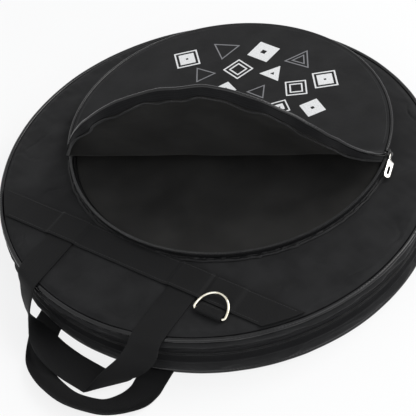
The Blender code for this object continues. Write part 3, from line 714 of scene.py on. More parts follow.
def rimPath(radius, height, seed, sway):
    # A circle that wanders a little in radius and height
    turn = np.linspace(0, tau, 720, endpoint=False)
    x, y = radius * np.cos(turn), radius * np.sin(turn)
    out = radius + sway * noise2(x, y, seed, 3, 0.07)
    up = height + sway * noise2(x, y, seed + 1, 3, 0.09)
    return np.stack([out * np.cos(turn), out * np.sin(turn), up], axis=-1)


pressed = {"height": 0.0027, "drop": 0.0025, "reach": 0.004}  # where a leg passes under


def pressUnderStraps(mesh):
    # Flattened from below over each back leg, and less so by a slope over the reach beside it
    spots = pointsOf(mesh)
    x, y, z = spots.T.astype(float)
    beside = np.min([np.abs(x - backLegX(legX, y)) for legX in bag["legs"]], axis=0)
    beside = beside - bag["web"] / 2
    lowest = pressed["height"] - pressed["drop"] * np.maximum(beside, 0) / pressed["reach"]
    under = (y < 0) & (beside < pressed["reach"])
    spots[:, 2] = np.where(under, np.maximum(z, lowest), z)
    mesh.vertices.foreach_set("co", spots.ravel())
    mesh.update()


for name, height, seed, body, node in (
    ("lidPiping", 0.0633, 61, "main_lid", "front_piping"),
    ("basePiping", 0.0034, 67, "bag_base", "back_piping"),
):
    ring = rimPath(bag["pipeRing"], height, seed, 0.0002)
    piping = roundTube(name, ring, bag["pipeRadius"], pipingCoat, True, 16)
    if body == "bag_base":
        pressUnderStraps(piping.data)
    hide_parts(node)
    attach(piping, body)

spineHalf = math.radians(22)
zipStart = math.pi / 2 + spineHalf + 0.002
zipTurns = np.linspace(zipStart, tau + math.pi - zipStart, 600)


tapeShape = {"mainThick": 0.0015, "pocketThick": 0.0014, "wave": 0.0004, "valley": 0.0030}


def tapeProfile(radius, low, high, thick, folds=7):
    # Closed profile of a tape, down its outer side and back up the inner one
    outer = [(radius + thick / 2, height) for height in np.linspace(high, low, folds)]
    inner = [(radius - thick / 2, height) for height in np.linspace(low, high, folds)]
    return outer + inner


def tapeWave(seed, valley=0.0):
    # Waves along the tape; by the valley its edges away from the teeth reach out to the walls
    def wave(angle, radius, height):
        out = valley * smoothStep(np.abs(height - bag["zipHeight"]), 0.0065, 0.0127)
        return out + tapeShape["wave"] * noise2(angle * radius, height * 2, seed, 3, 0.05)

    return wave


for name, low, high, seed, body, node in (
    ("lidZipTape", 0.0383, 0.0477, 71, "main_lid", "upper_zip_tape"),
    ("baseZipTape", 0.0223, 0.0317, 73, "bag_base", "lower_zip_tape"),
):
    profile = tapeProfile(bag["zipRadius"], low, high, tapeShape["mainThick"])
    wave = tapeWave(seed, tapeShape["valley"])
    tape = turnedRing(name, profile, zipTape, zipTurns, wave, closed=False)
    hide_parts(node)
    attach(tape, body)

coil = {
    "pitch": 0.0017,
    "along": 0.00062,
    "reach": 0.0018,
    "mainTall": 0.0036,
    "pocketTall": 0.0026,
}


def coilTeeth(name, middles, alongWays, outWays, upWays, height):
    # Coil turns as six-sided bars lying across the tape: one bar at each middle, its section an
    # oval hexagon along the zip and up it, its ends tapered
    turn = np.linspace(0, tau, 6, endpoint=False)
    flat, tall = coil["along"] * np.cos(turn)[:, None], height / 2 * np.sin(turn)[:, None]
    parts = []
    for share, narrow in ((-1, 0.72), (-0.6, 1.0), (0.6, 1.0), (1, 0.72)):
        out = outWays[:, None] * (share * coil["reach"])
        section = alongWays[:, None] * (flat * narrow) + upWays[:, None] * (tall * narrow)
        parts.append(middles[:, None] + section + out)
    # Each bar's ends are closed by two faces of four corners
    block = quads(4, 6, 0, False, True).tolist()
    for four in ([5, 4, 3, 2], [5, 2, 1, 0]):
        block += [four, [18 + spot for spot in four[::-1]]]
    first = 24 * np.arange(len(middles))[:, None, None]
    faces = (np.array(block)[None] + first).reshape(-1, 4)
    return meshPiece(name, np.stack(parts, axis=1), faces, zipCoil)


def ringTeeth(name, radius, height, turns, tall, centre=(0, 0)):
    # Teeth at each of the turns round a circle, all at one height
    out = np.stack([np.cos(turns), np.sin(turns), 0 * turns], axis=-1)
    along = np.stack([-np.sin(turns), np.cos(turns), 0 * turns], axis=-1)
    middles = out * radius + [*centre, height]
    return coilTeeth(name, middles, along, out, np.tile(upward, (len(turns), 1)), tall)


toothStep = coil["pitch"] / bag["zipRadius"]
toothTurns = np.arange(zipTurns[0] + 0.01, zipTurns[-1] - 0.01, toothStep)
for name, height, shift, body, node in (
    ("lidZipTeeth", 0.0364, 0.0, "main_lid", "upper_zip_chain"),
    ("baseZipTeeth", 0.0336, 0.5, "bag_base", "lower_zip_chain"),
):
    turns = toothTurns + shift * toothStep
    teeth = ringTeeth(name, bag["zipRadius"], height, turns, coil["mainTall"])
    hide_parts(node)
    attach(teeth, body)


spineShape = {"low": 0.0223, "high": 0.0477, "bulge": 0.0008, "sway": 0.0004}


def spineSheet():
    # The cloth hinge between the two halves: an arc of cloth from one side wall to the other
    turn = np.linspace(math.pi / 2 - spineHalf, math.pi / 2 + spineHalf, 90)[:, None]
    low, high = spineShape["low"], spineShape["high"]
    height = np.linspace(low, high, 26)[None, :]
    arc = turn * bag["zipRadius"]
    bulge = spineShape["bulge"] * np.sin(np.pi * (height - low) / (high - low))
    sway = spineShape["sway"] * noise2(arc, height, 83, 3, 0.05)
    radius = bag["zipRadius"] + 0.0007 + bulge + sway
    x, y = radius * np.cos(turn), radius * np.sin(turn)
    points = np.stack([x, y, height + 0 * turn], axis=-1)
    uv = np.stack(np.broadcast_arrays(arc, height), axis=-1)
    return clothSheet("spineCloth", points, 0.0013, shellCloth, uv)


spineCloth = spineSheet()
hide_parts("spine_panel")
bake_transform(spineCloth)
print("side walls made")


# The front pocket: floor, walls, zip, and the lid that folds up along a chord

halfOpen = (tau - (pocket["foldEnd"] - pocket["foldStart"])) / 2
foldReach = pocket["radius"] * math.cos(halfOpen)
halfChord = pocket["radius"] * math.sin(halfOpen)
foldSide = pocket["foldStart"] - halfOpen
foldNormal = np.array([math.cos(foldSide), math.sin(foldSide), 0.0])
foldAlong = np.array([-math.sin(foldSide), math.cos(foldSide), 0.0])
pocketCentre = np.array([*pocket["spot"], 0.0])
foldMiddle = pocketCentre + foldNormal * foldReach + upward * pocket["top"]
arcEnd = math.radians(4.8)
frontArc = (pocket["foldEnd"] - tau - arcEnd, pocket["foldStart"] + arcEnd)
rearArc = (frontArc[1] + 0.004, frontArc[0] + tau - 0.004)
wallShape = {
    "foot": 0.2053,
    "thick": 0.0015,
    "low": 0.0669,
    "frontHigh": 0.0704,
    "rearHigh": 0.0839,
    "frontSway": 0.0004,
    "rearSway": 0.0007,
    "rearBow": 0.0006,
}


def wallWave(seed, size, high):
    # Outward sway: noise along the wall, none at its foot and its top
    low = wallShape["low"]

    def wave(angle, radius, height):
        middle = np.sin(np.pi * np.clip((height - low) / (high - low), 0, 1))
        arc = angle * pocket["radius"]
        return size * middle * noise2(arc + height, height * 2, seed, 3, 0.045)

    return wave


def wallProfile(high, bow):
    # Leans out from its foot to the zip's radius, a little bowed; closed down the inner side
    low, foot = wallShape["low"], wallShape["foot"]
    height = np.linspace(low, high, 12)
    share = np.clip((height - bag["front"]) / (pocket["zipHeight"] - bag["front"]), 0, 1)
    radius = foot + (pocket["zipRadius"] - foot) * share
    radius = radius + bow * np.sin(np.pi * (height - low) / (high - low))
    outer = np.stack([radius + wallShape["thick"] / 2, height], axis=-1)[::-1]
    inner = np.stack([radius - wallShape["thick"] / 2, height], axis=-1)
    return np.concatenate([outer, inner])


pocketTurns = np.linspace(*frontArc, 260)
for name, profile, look, turns, wave, node, slot in (
    (
        "pocketFrontWall", wallProfile(wallShape["frontHigh"], 0.0), shellCloth, pocketTurns,
        wallWave(91, wallShape["frontSway"], wallShape["frontHigh"]), "pocket_front_wall", "fabric",
    ),
    (
        "pocketRearWall", wallProfile(wallShape["rearHigh"], wallShape["rearBow"]), shellCloth,
        np.linspace(*rearArc, 320), wallWave(93, wallShape["rearSway"], wallShape["rearHigh"]),
        "pocket_rear_wall", "fabric",
    ),
    (
        "pocketZipTape",
        tapeProfile(pocket["zipRadius"], 0.0707, 0.0748, tapeShape["pocketThick"], 5), zipTape,
        pocketTurns, tapeWave(95), "pocket_zip_tape", "zip_tape",
    ),
):
    wall = turnedRing(name, profile, look, turns, wave, pocket["spot"], False)
    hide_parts(node)
    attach(wall, "main_lid")
pocketStep = coil["pitch"] / pocket["zipRadius"]
toothTurns = np.arange(frontArc[0] + 0.005, frontArc[1] - 0.004, pocketStep)
teethRing = ("pocketZipTeeth", pocket["zipRadius"], 0.0764, toothTurns)
pocketTeeth = ringTeeth(*teethRing, coil["pocketTall"], pocket["spot"])
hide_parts("pocket_zip_chain")
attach(pocketTeeth, "main_lid")

hemShape = {
    "start": 0.2078,
    "wide": 0.0074,
    "arc": 0.21,  # radius that the noise and the map are measured on
    "thick": 0.0008,
    "lift": 0.0009,
    "sway": 0.0006,  # in the place of its free edge
    "swell": 0.0006,
    "ruffle": 0.0015,
    "ridge": 0.0009,
}


def pocketHem():
    # The tape's gathered hem on the lid, round the wall's foot: two sewn ridges of a cosine across
    # it, over a bulge that ruffles along it by the size of a noise
    turn = np.linspace(frontArc[0] + 0.03, frontArc[1] - 0.10, 520)[:, None]
    share = np.linspace(0, 1, 21)[None, :]
    arc = turn * hemShape["arc"]
    sway = hemShape["sway"] * share * noise2(arc, 0 * share, 201, 3, 0.02)
    radius = hemShape["start"] + hemShape["wide"] * share + sway
    x = pocket["spot"][0] + radius * np.cos(turn)
    y = pocket["spot"][1] + radius * np.sin(turn)
    gather = np.abs(noise2(arc + share * 0.005, share * 0.01, 203, 3, 0.013))
    ridges = hemShape["ridge"] * (0.5 - 0.5 * np.cos(4 * np.pi * share)) * (1 - share**6)
    hump = np.sin(np.pi * np.clip(share * 1.15, 0, 1))
    bulge = ridges + hump * (hemShape["swell"] + hemShape["ruffle"] * gather)
    height = lidHeight(x, y, np.hypot(x, y)) + hemShape["lift"] + bulge
    points = np.stack([x, y, height], axis=-1)[:, ::-1]
    uv = np.stack(np.broadcast_arrays(arc, radius), axis=-1)[:, ::-1]
    hem = clothSheet("pocketZipHem", points, hemShape["thick"], hemTape, uv)
    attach(hem, "main_lid")


pocketHem()
floorShape = {"top": 0.0681, "swell": 0.0006, "under": 0.06695}


def floorHeight(x, y, radius):
    # Loose lining on the pocket's floor: soft folds that fade towards its rim
    quiet = 1 - smoothStep(radius, 0.18, 0.2025)
    folds = np.clip(noise2(x, y, 101, 4, 0.11), -1, 1.4)
    return floorShape["top"] + quiet * floorShape["swell"] * folds


floorSides = (floorHeight, level(floorShape["under"]))
floorRings = np.linspace(0, 0.2028, 80)
pocketFloor = paddedDisc(
    "pocketFloorCloth", floorRings, *floorSides, innerCloth, 300, pocket["spot"]
)
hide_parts("pocket_floor")
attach(pocketFloor, "main_lid")

lidBend = {
    "half": 0.009,  # half length of the bend, along the cloth
    "open": math.radians(75),
    "droop": math.radians(35),
    "swell": 0.0036,
    "crease": 0.0019,
    "sag": 0.0026,
}


def lidPoint(chord, side, deep):
    # A point of the pocket's lid from its place on the closed one: chord runs along the fold and
    # side across it. Before the fold the cloth is flat, it turns through an arc at the fold, and
    # then rises straight at the flap's angle, which droops towards the slider. deep is the depth
    # below the outer face
    half = lidBend["half"]
    share = 0.5 + chord / (2 * halfChord)
    opened = lidBend["open"] - lidBend["droop"] * np.maximum(0, (share - 0.5) / 0.5) ** 1.5
    reach = side - foldReach
    turned = opened * np.clip((reach + half) / (2 * half), 0, 1)
    bendRadius = 2 * half / opened
    straight = np.maximum(reach - half, 0)
    out = np.minimum(reach, -half) + bendRadius * np.sin(turned) + straight * np.cos(opened)
    rise = bendRadius * (1 - np.cos(turned)) + straight * np.sin(opened)
    lifted = smoothStep(reach, 0, 0.05)
    hump = np.sin(np.pi * np.clip(reach / (pocket["radius"] - foldReach), 0, 1))
    swell = lifted * lidBend["swell"] * hump * (0.6 + 0.5 * np.sin(chord * 17 + 0.6))
    folds = lifted * lidBend["crease"] * noise2(chord, side, 111, 4, 0.10)
    depth = deep - swell - folds
    out = out + depth * np.sin(turned)
    middle = np.clip(1 - (2 * share - 1) ** 2, 0, 1)
    uneven = 0.8 + 0.35 * np.sin(chord * 31 + 0.4) + 0.2 * np.sin(chord * 74 + 2.0)
    sag = lidBend["sag"] * middle * uneven * np.exp(-((reach / 0.026) ** 2))
    rise = rise - depth * np.cos(turned) - sag
    along, across = foldAlong * chord[..., None], foldNormal * out[..., None]
    return foldMiddle + along + across + upward * rise[..., None]


sheetRadius = 0.2068


def lidSheet(name, low, thickness, look, first, rows, columns):
    # The lid as parallel rows along the fold from the rear rim to the front one, closed in shape
    # by the half chord at each row, which shrinks to nothing at both rims
    turn = np.linspace(first, math.pi / 2 - 0.006, rows)[:, None]
    share = np.sin(np.linspace(-math.pi / 2, math.pi / 2, columns))[None, :]
    chord = sheetRadius * np.cos(turn) * share
    side = sheetRadius * np.sin(turn) + 0 * chord
    outer = lidPoint(chord, side, low)
    normal = unit(outer - lidPoint(chord, side, low + thickness))
    return clothSheet(name, outer, thickness, look, np.stack([chord, side], axis=-1), normal)


rearRim = -math.pi / 2 + 0.006
pocketLid = lidSheet("pocketLidCloth", 0.0, 0.0021, shellCloth, rearRim, 240, 200)
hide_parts("pocket_rear_lid", "pocket_flap")
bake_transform(pocketLid)
hemTurn = math.asin((foldReach - 0.030) / sheetRadius)
flapLining = lidSheet("flapLining", 0.0024, 0.0009, innerCloth, hemTurn, 150, 180)
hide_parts("flap_lining")
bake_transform(flapLining)


def arcPlace(turn, radius):
    # Chord and side of points on a circle about the pocket's middle, turn counted from the flap's
    # centre line
    return radius * np.sin(turn), radius * np.cos(turn)


lipShape = {
    "tapeTop": 0.0045,
    "tapeEnd": 0.0088,
    "teeth": 0.0101,
    "lean": 0.55,
    "wave": 0.0019,
    "deeper": 0.95,
}
tapeEnd = halfOpen - math.radians(3.4)


def lipDepth(turn, depth):
    # The flap's side wall is deepest in its middle and narrow beside the fold
    stretch = 1 + lipShape["deeper"] * smoothStep(tapeEnd - np.abs(turn), 0.05, 0.55)
    return lipShape["tapeTop"] + (depth - lipShape["tapeTop"]) * stretch


def lipRadius(turn, depth):
    # The tape sags inwards as it leaves the piping, and waves a little along its free edge
    fall = np.maximum(lipDepth(turn, depth) - lipShape["tapeTop"], 0)
    loose = fall / (lipShape["teeth"] - lipShape["tapeTop"])
    wave = noise2(turn * pocket["radius"], 0 * depth, 121, 3, 0.06) * loose
    ends = smoothStep(tapeEnd - np.abs(turn), 0.0, 0.22)
    return pocket["zipRadius"] - ends * (lipShape["lean"] * fall + lipShape["wave"] * wave)


def flapTapeSheet(thickness):
    # A strip that hangs below the flap's rim, between two depths
    turn = np.linspace(-tapeEnd, tapeEnd, 320)[:, None]
    depth = np.linspace(lipShape["tapeTop"], lipShape["tapeEnd"], 7)[None, :]
    deep = lipDepth(turn, depth)
    outward = lipRadius(turn, depth) + thickness / 2
    outer = lidPoint(*arcPlace(turn, outward), deep)
    normal = unit(outer - lidPoint(*arcPlace(turn, outward - thickness), deep))
    uv = np.stack(np.broadcast_arrays(turn * pocket["zipRadius"], depth), axis=-1)
    return clothSheet("flapZipTape", outer, thickness, zipTape, uv, normal)


flapTape = flapTapeSheet(0.0013)
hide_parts("flap_zip_tape")
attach(flapTape, "flap")


def flapTeeth():
    # The coil on the free edge of the flap's tape: bars across the tape at even steps
    turn = np.arange(0.036 - tapeEnd, tapeEnd - 0.036, pocketStep)

    def edge(depth):
        # Places on the tape's middle line at a depth below the flap's rim
        return lidPoint(*arcPlace(turn, lipRadius(turn, depth)), lipDepth(turn, depth))

    middles = edge(lipShape["teeth"] + 0 * turn)
    up = unit(edge(lipShape["teeth"] + 0.001 + 0 * turn) - middles)
    along = unit(np.gradient(middles, axis=0))
    out = np.cross(along, up)
    return coilTeeth("flapZipTeeth", middles, along, out, up, coil["pocketTall"])


flapCoil = flapTeeth()
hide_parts("flap_zip_chain")
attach(flapCoil, "flap")

pipeCircle = pocket["radius"] - pocket["pipeRadius"]
pipeEnd = math.acos((foldReach + pocket["pipeRadius"] + 0.0016) / pipeCircle)
pipeTurns = np.linspace(-pipeEnd, pipeEnd, 300)
flapPipePath = lidPoint(*arcPlace(pipeTurns, pipeCircle), pocket["pipeRadius"])
flapPiping = roundTube("flapPiping", flapPipePath, pocket["pipeRadius"], pipingCoat)
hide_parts("flap_piping")
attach(flapPiping, "flap")
rearTurns = np.linspace(pocket["foldStart"] + 0.0076, pocket["foldEnd"] - 0.0076, 480)
rearPath = np.stack([np.cos(rearTurns), np.sin(rearTurns), 0 * rearTurns], axis=-1)
rearPath = pocketCentre + rearPath * pipeCircle
rearPath[:, 2] = pocket["top"] - pocket["pipeRadius"]
rearPiping = roundTube("pocketRearPiping", rearPath, pocket["pipeRadius"], pipingCoat)
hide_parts("pocket_rear_piping")
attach(rearPiping, "main_lid")
print("pocket made")


# Webbing: the cross bands, the handles with their legs, and the ring's tab

stitchShape = {"long": 0.0026, "wide": 0.00060, "gap": 0.0011, "tall": 0.00022, "lidRadius": 0.2030}


def smoothRows(rows, count):
    # Catmull-Rom curve through a table of rows, at even steps
    table = np.array(rows, float)
    padded = np.vstack([2 * table[0] - table[1], table, 2 * table[-1] - table[-2]])
    spot = (len(table) - 1) * np.linspace(0, 1, count)
    index = np.minimum(spot.astype(int), len(table) - 2)
    share = (spot - index)[:, None]
    a, b, c, d = (padded[index + shift] for shift in range(4))
    square, cube = 2 * a - 5 * b + 4 * c - d, 3 * (b - c) + d - a
    return 0.5 * (2 * b + (c - a) * share + square * share**2 + cube * share**3)


def slimEdges(share, thick):
    # The thickness across a strap, thinned over the last tenth to each edge
    return thick * (1 - 0.45 * np.clip((np.abs(share) - 0.9) / 0.1, 0, 1))


def stripPiece(name, upper, lower, uv):
    # A strap from rows of points on its two sides, closed by quads across both of its ends
    points = np.concatenate([upper, lower[:, ::-1]], axis=1)
    rows, sides = points.shape[:2]
    faces = quads(rows, sides, 0, False, True).tolist()
    for row in (0, rows - 1):
        for column in range(sides // 2 - 1):
            four = [column, column + 1, sides - 2 - column, sides - 1 - column]
            faces.append([row * sides + spot for spot in (four if row else four[::-1])])
    uv = np.concatenate([uv, uv[:, ::-1]], axis=1)
    return meshPiece(name, points, faces, strapWebbing, uv, 55)


bandShape = {"gap": 0.0003, "stepFrom": 0.0004, "stepTo": 0.0066, "sway": 0.00012, "trim": 0.0012}


def bandHeight(x):
    # Middle of the front band's thickness: raised over each strap that passes below it
    lift = 0 * x
    for middle, half, thick in (
        (bag["legs"][0], bag["web"] / 2, bag["webThick"]),
        (bag["legs"][1], bag["web"] / 2, bag["webThick"]),
        (tabShape["x"], tabShape["wide"] / 2, tabShape["thick"]),
    ):
        beyond = np.abs(x - middle) - half
        over = 1 - smoothStep(beyond, bandShape["stepFrom"], bandShape["stepTo"])
        lift = np.maximum(lift, (thick + bandShape["gap"]) * over)
    return bag["front"] + bandShape["gap"] + bag["webThick"] / 2 + lift


def bandPiece(name, height, body, nodes):
    # Across the face from rim to rim; each row's ends are cut to the circle of the rim
    rim = bag["panelRim"] - bandShape["trim"]
    across = np.linspace(-1, 1, 15)[None, :]
    y = bag["bandY"] + across * bag["web"] / 2 + np.zeros((420, 1))
    x = np.linspace(-1, 1, 420)[:, None] * np.sqrt(rim * rim - y * y)
    middle = height(x) + bandShape["sway"] * noise2(x, y, 151, 3, 0.04)
    slim = slimEdges(across, bag["webThick"]) / 2
    upper, lower = (np.stack([x, y, middle + half], axis=-1) for half in (slim, -slim))
    band = stripPiece(name, upper, lower, upper[..., :2] + np.array([0.0, 0.3]))
    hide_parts(*nodes)
    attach(band, body)


bandPiece("crossBand", bandHeight, "main_lid", ["front_band"])
bandPiece("backBand", lambda x: 0.0014 + 0 * x, "bag_base", ["back_band"])

frontStrapRows = (
    # The strap's middle and the half of its width, in millimetres, from the left leg's end under
    # the band, over the rim, through a half twist, along the floor, up a slanting fold and back
    (-98, -163.2, 68.0, -18.8, 0, 0),
    (-98, -190, 68.0, -18.8, 0, 0),
    (-98, -225, 68.1, -18.8, 0, 0),
    (-98, -244, 68.2, -18.8, 0, 0),
    (-98, -254, 68.3, -18.6, 2.2, 0),
    (-97.8, -261.5, 68.0, -18.1, 5, 0),
    (-97.2, -266.8, 66.0, -17.8, 5.8, -0.6),
    (-96.2, -270.2, 61.8, -17.4, 6.4, -2.2),
    (-94.8, -273.4, 56.9, -16.9, 7.2, -4.2),
    (-94, -277.4, 50.7, -16.1, 7.2, -6.4),
    (-92.7, -281, 45.1, -15.3, 6.9, -8.6),
    (-90.7, -284.3, 39.9, -14, 7, -10.4),
    (-88, -287.7, 34.9, -12.7, 7.4, -11.8),
    (-84.7, -290.6, 30.1, -10.8, 8.8, -12.7),
    (-79.8, -292.7, 25.5, -7.8, 11.1, -12.9),
    (-73.7, -294.8, 21, -4, 13.5, -12.4),
    (-67, -298, 17.2, 0, 15.2, -11.1),
    (-59.7, -301.5, 14.2, 2.6, 16.3, -9),
    (-51.8, -304.8, 11.8, 3.9, 17.1, -6.7),
    (-43.6, -307.7, 9.7, 4.1, 17.8, -4.4),
    (-35, -309.8, 8, 3.7, 18.2, -2.4),
    (-22, -312, 6.5, 2.6, 18.6, -0.8),
    (-6, -314, 5.7, 1.8, 18.8, 0),
    (20, -315.5, 5.6, 6, 18.8, 0),
    (37, -316, 5.4, 15, 18.8, 0.2),
    (45, -316, 7.2, 19, 18.4, 0.6),
    (50.5, -311.5, 14, 18.5, 16.5, -2),
    (60, -302.5, 25, 16, 11, -8),
    (72, -292, 38, 14.5, 6.5, -10.5),
    (80, -282.5, 53, 17, 3.5, -7),
    (82, -276.8, 64, 18.5, 1.2, -2),
    (82, -268, 68.1, 18.8, 0, 0),
    (82, -254, 68.2, 18.8, 0, 0),
    (82, -225, 68.1, 18.8, 0, 0),
    (82, -190, 68.0, 18.8, 0, 0),
    (82, -163.2, 68.0, 18.8, 0, 0),
)
backStrapRows = (
    # Inside the back band, out from under the bag, and round the floor with its outer edge raised
    (-98, -164.2, 3.8, 18.7, 0, 0),
    (-98, -180, 3.8, 18.7, 0, 0),
    (-98, -197, 3.8, 18.7, 0, 0),
    (-98, -207, 1.4, 18.7, 0, 0),
    (-95.5, -222, 1.4, 18.2, 4, 0),
    (-88.5, -238, 1.4, 17.3, 7, 0),
    (-81.5, -252, 1.4, 17.8, 5.5, 0),
    (-78, -264, 1.4, 18.4, 3, 0),
    (-75.5, -277, 1.4, 18.4, 3, 0),
    (-71.5, -290, 1.5, 17.8, 5.5, 0),
    (-64.5, -303, 1.9, 15.6, 9, -0.5),
    (-57.5, -316, 3.2, 12, 10.6, -1.9),
    (-48.5, -327.5, 5.4, 8.9, 11, -3.9),
    (-33.2, -338, 7.8, 5.5, 11.6, -6.2),
    (-11.7, -346, 8.9, 2.7, 12.2, -7.3),
    (16.7, -350, 9.3, 0, 12.3, -7.7),
    (45.2, -345.5, 9.2, -3.8, 12.2, -7.6),
    (61.5, -338.5, 7.8, -8, 11.4, -6.2),
    (75.5, -324, 5.5, -12, 10.2, -4),
    (83.5, -308.5, 2.9, -16.2, 7.2, -1.5),
    (84.8, -294, 1.5, -18.3, 2.4, 0),
    (83.6, -280, 1.4, -18.6, 0.5, 0),
    (82, -262, 1.4, -18.7, 0, 0),
    (82, -245, 1.4, -18.7, 0, 0),
    (82, -225, 1.4, -18.7, 0, 0),
    (82, -207, 1.4, -18.7, 0, 0),
    (82, -197, 3.8, -18.7, 0, 0),
    (82, -180, 3.8, -18.7, 0, 0),
    (82, -164.2, 3.8, -18.7, 0, 0),
)


strapShape = {
    "backThick": 0.0020,
    "sway": 0.00025,
    "floor": 0.0002,  # gap that stays under a strap
    "cupAt": 0.12,  # how short of the webbing's width the strap is at its full cup
}


def slantedStrap(name, rows, thick, count, seed, cup=0.0):
    # A ribbon given by its middle line and half widths, which may slant where it folds: rows of
    # points from one edge to the other, thickened along the sheet's normal, edges slimmed. Where
    # the half widths are short of the webbing's, the strap cups by that share of cup
    table = smoothRows(rows, count) / 1000
    middle, half = table[:, :3], table[:, 3:]
    share = np.linspace(-1, 1, 15)[None, :]
    sheet = middle[:, None] + half[:, None] * share[..., None]
    normal = gridNormals(sheet)
    length = runLength(middle)[:, None]
    slant = np.sum(unit(np.gradient(middle, axis=0)) * half, axis=1)[:, None] * share
    across = share * bag["web"] / 2
    narrow = 1 - np.linalg.norm(half, axis=1)[:, None] / (bag["web"] / 2 - 0.0002)
    bow = cup * np.clip(narrow / strapShape["cupAt"], 0, 1) * (1 - share**2)
    sway = strapShape["sway"] * noise2(length, across, seed, 3, 0.06)
    sheet = sheet + normal * (sway + bow)[..., None]
    sheet[..., 2] = np.maximum(sheet[..., 2], strapShape["floor"] + thick / 2)
    slim = normal * slimEdges(share, thick)[..., None] / 2
    uv = np.stack([length + slant, across + bag["web"] + 0 * length], axis=-1)
    return stripPiece(name, sheet + slim, sheet - slim, uv)


frontStrap = slantedStrap("frontStrap", frontStrapRows, bag["webThick"], 700, 161)
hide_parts("front_handle", "front_leg_left", "front_leg_right")
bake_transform(frontStrap)
backThick = strapShape["backThick"]
backStrap = slantedStrap("backStrap", backStrapRows, backThick, 620, 171, cup=-0.0065)
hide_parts("back_handle", "back_leg_left", "back_leg_right")
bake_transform(backStrap)


def ringTabPath():
    # Under the band's edge, round the ring's bar and back down to the band, in the YZ plane
    bar, barY = tabShape["barHeight"], tabShape["barY"]
    bend = tabShape["bend"] + tabShape["thick"] / 2
    end = np.array([bag["bandY"] - bag["web"] / 2 - 0.0016, tabShape["endHeight"]])
    off = end - (barY, bar)
    leave = math.atan2(off[1], off[0]) + math.acos(bend / math.hypot(*off))
    low = np.linspace(bag["legTop"], barY + 0.002, 12)
    turn = np.linspace(-math.pi / 2, leave - tau, 26)
    share = np.linspace(0.15, 1, 8)[:, None]
    under = np.stack([low, 0 * low + bar - bend], axis=-1)
    around = np.stack([barY + bend * np.cos(turn), bar + bend * np.sin(turn)], axis=-1)
    flat = np.concatenate([under, around, around[-1] + (end - around[-1]) * share])
    return np.insert(flat, 0, tabShape["x"], axis=1)


def tabSheet(path):
    # A ribbon along the path, its width along x: at each point a row across it, which sways a
    # little; the map counts metres along and across
    way = unit(np.gradient(path, axis=0))
    sideways = np.array([1.0, 0.0, 0.0])
    width = unit(sideways - way * (way @ sideways)[:, None])
    face = np.cross(way, width)
    share = np.linspace(-1, 1, 15)[None, :]
    length = runLength(path)[:, None]
    sway = tabShape["sway"] * noise2(length, 0 * share, 181, 3, 0.05)
    across = share * tabShape["wide"] / 2 + sway
    rise = tabShape["sway"] * noise2(length, share * 0.02, 184, 3, 0.06)
    slim = slimEdges(share, tabShape["thick"]) / 2
    spread = path[:, None] + width[:, None] * across[..., None]
    upper, lower = (spread + face[:, None] * (rise + half)[..., None] for half in (slim, -slim))
    uv = np.stack([length + 0 * share, across + tabShape["wide"]], axis=-1)
    return stripPiece("ringTab", upper, lower, uv)


tabPath = ringTabPath()
ringTab = tabSheet(tabPath)
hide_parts("ring_tab")
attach(ringTab, "main_lid")

ringShape = {
    "wide": 0.044,
    "long": 0.0302,
    "wire": 0.0016,
    "corner": 0.003,
    "tilt": math.radians(13),
    "barHeight": 0.0707,
}


def dRingPath():
    # A straight bar with small corners, closed by half an oval, tilted up from the bar
    half = ringShape["wide"] / 2 - ringShape["wire"]
    corner = ringShape["corner"]
    tall = ringShape["long"] - 2 * ringShape["wire"] - corner
    turn = np.linspace(0, math.pi, 60)
    arc = np.stack([half * np.cos(turn), corner + tall * np.sin(turn)], axis=-1)
    bend = np.linspace(-math.pi / 2, 0, 8)[1:-1]
    right = [half - corner + corner * np.cos(bend), corner + corner * np.sin(bend)]
    right = np.stack(right, axis=-1)
    bar = np.stack([np.linspace(-half + corner, half - corner, 16), np.zeros(16)], axis=-1)
    x, away = np.concatenate([bar, right, arc, right[::-1] * (-1, 1)]).T
    y = tabShape["barY"] + away * math.cos(ringShape["tilt"])
    z = ringShape["barHeight"] + away * math.sin(ringShape["tilt"])
    return np.stack([tabShape["x"] + x, y, z], axis=-1)


dRing = roundTube("dRing", dRingPath(), ringShape["wire"], ringMetal, True, 20)
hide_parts("d_ring")
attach(dRing, "strap_ring")
print("straps made")


# Rows of stitches: small rounded bars, each laid from one needle hole to the next

def stitchRow(name, path, outWays, body):
    # At even steps of the path five small hexagons, the middle ones largest, joined to one bar
    length = runLength(path)
    long = stitchShape["long"]
    starts = np.arange(0.001, length[-1] - long, long + stitchShape["gap"])

    def at(share, values):
        # Values read off the path at a share of each stitch's length
        spots = starts + long * share
        return np.stack([np.interp(spots, length, column) for column in values.T], axis=-1)

    places = np.stack([at(share, path) for share in (0, 0.22, 0.5, 0.78, 1)], axis=1)
    out = at(0.5, outWays)[:, None]
    side = np.cross(out, unit(places[:, 4:] - places[:, :1]))
    turn = np.linspace(0, tau, 6, endpoint=False)[:, None]
    size = np.array([0.35, 0.9, 1.0, 0.9, 0.35])[None, :, None, None]
    ring = side[:, :, None] * (np.cos(turn) * stitchShape["wide"] / 2)
    ring = ring + out[:, :, None] * (np.sin(turn) * stitchShape["tall"])
    points = places[:, :, None] + ring * size
    first = 30 * np.arange(len(starts))[:, None, None]
    faces = (quads(5, 6, 0, False, True)[None] + first).reshape(-1, 4).tolist()
    ends = np.array([[5, 4, 3, 2, 1, 0], [24, 25, 26, 27, 28, 29]])
    faces += (ends[None] + first).reshape(-1, 6).tolist()
    row = meshPiece(name, points, faces, threadLook, points[..., :2])
    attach(row, body)


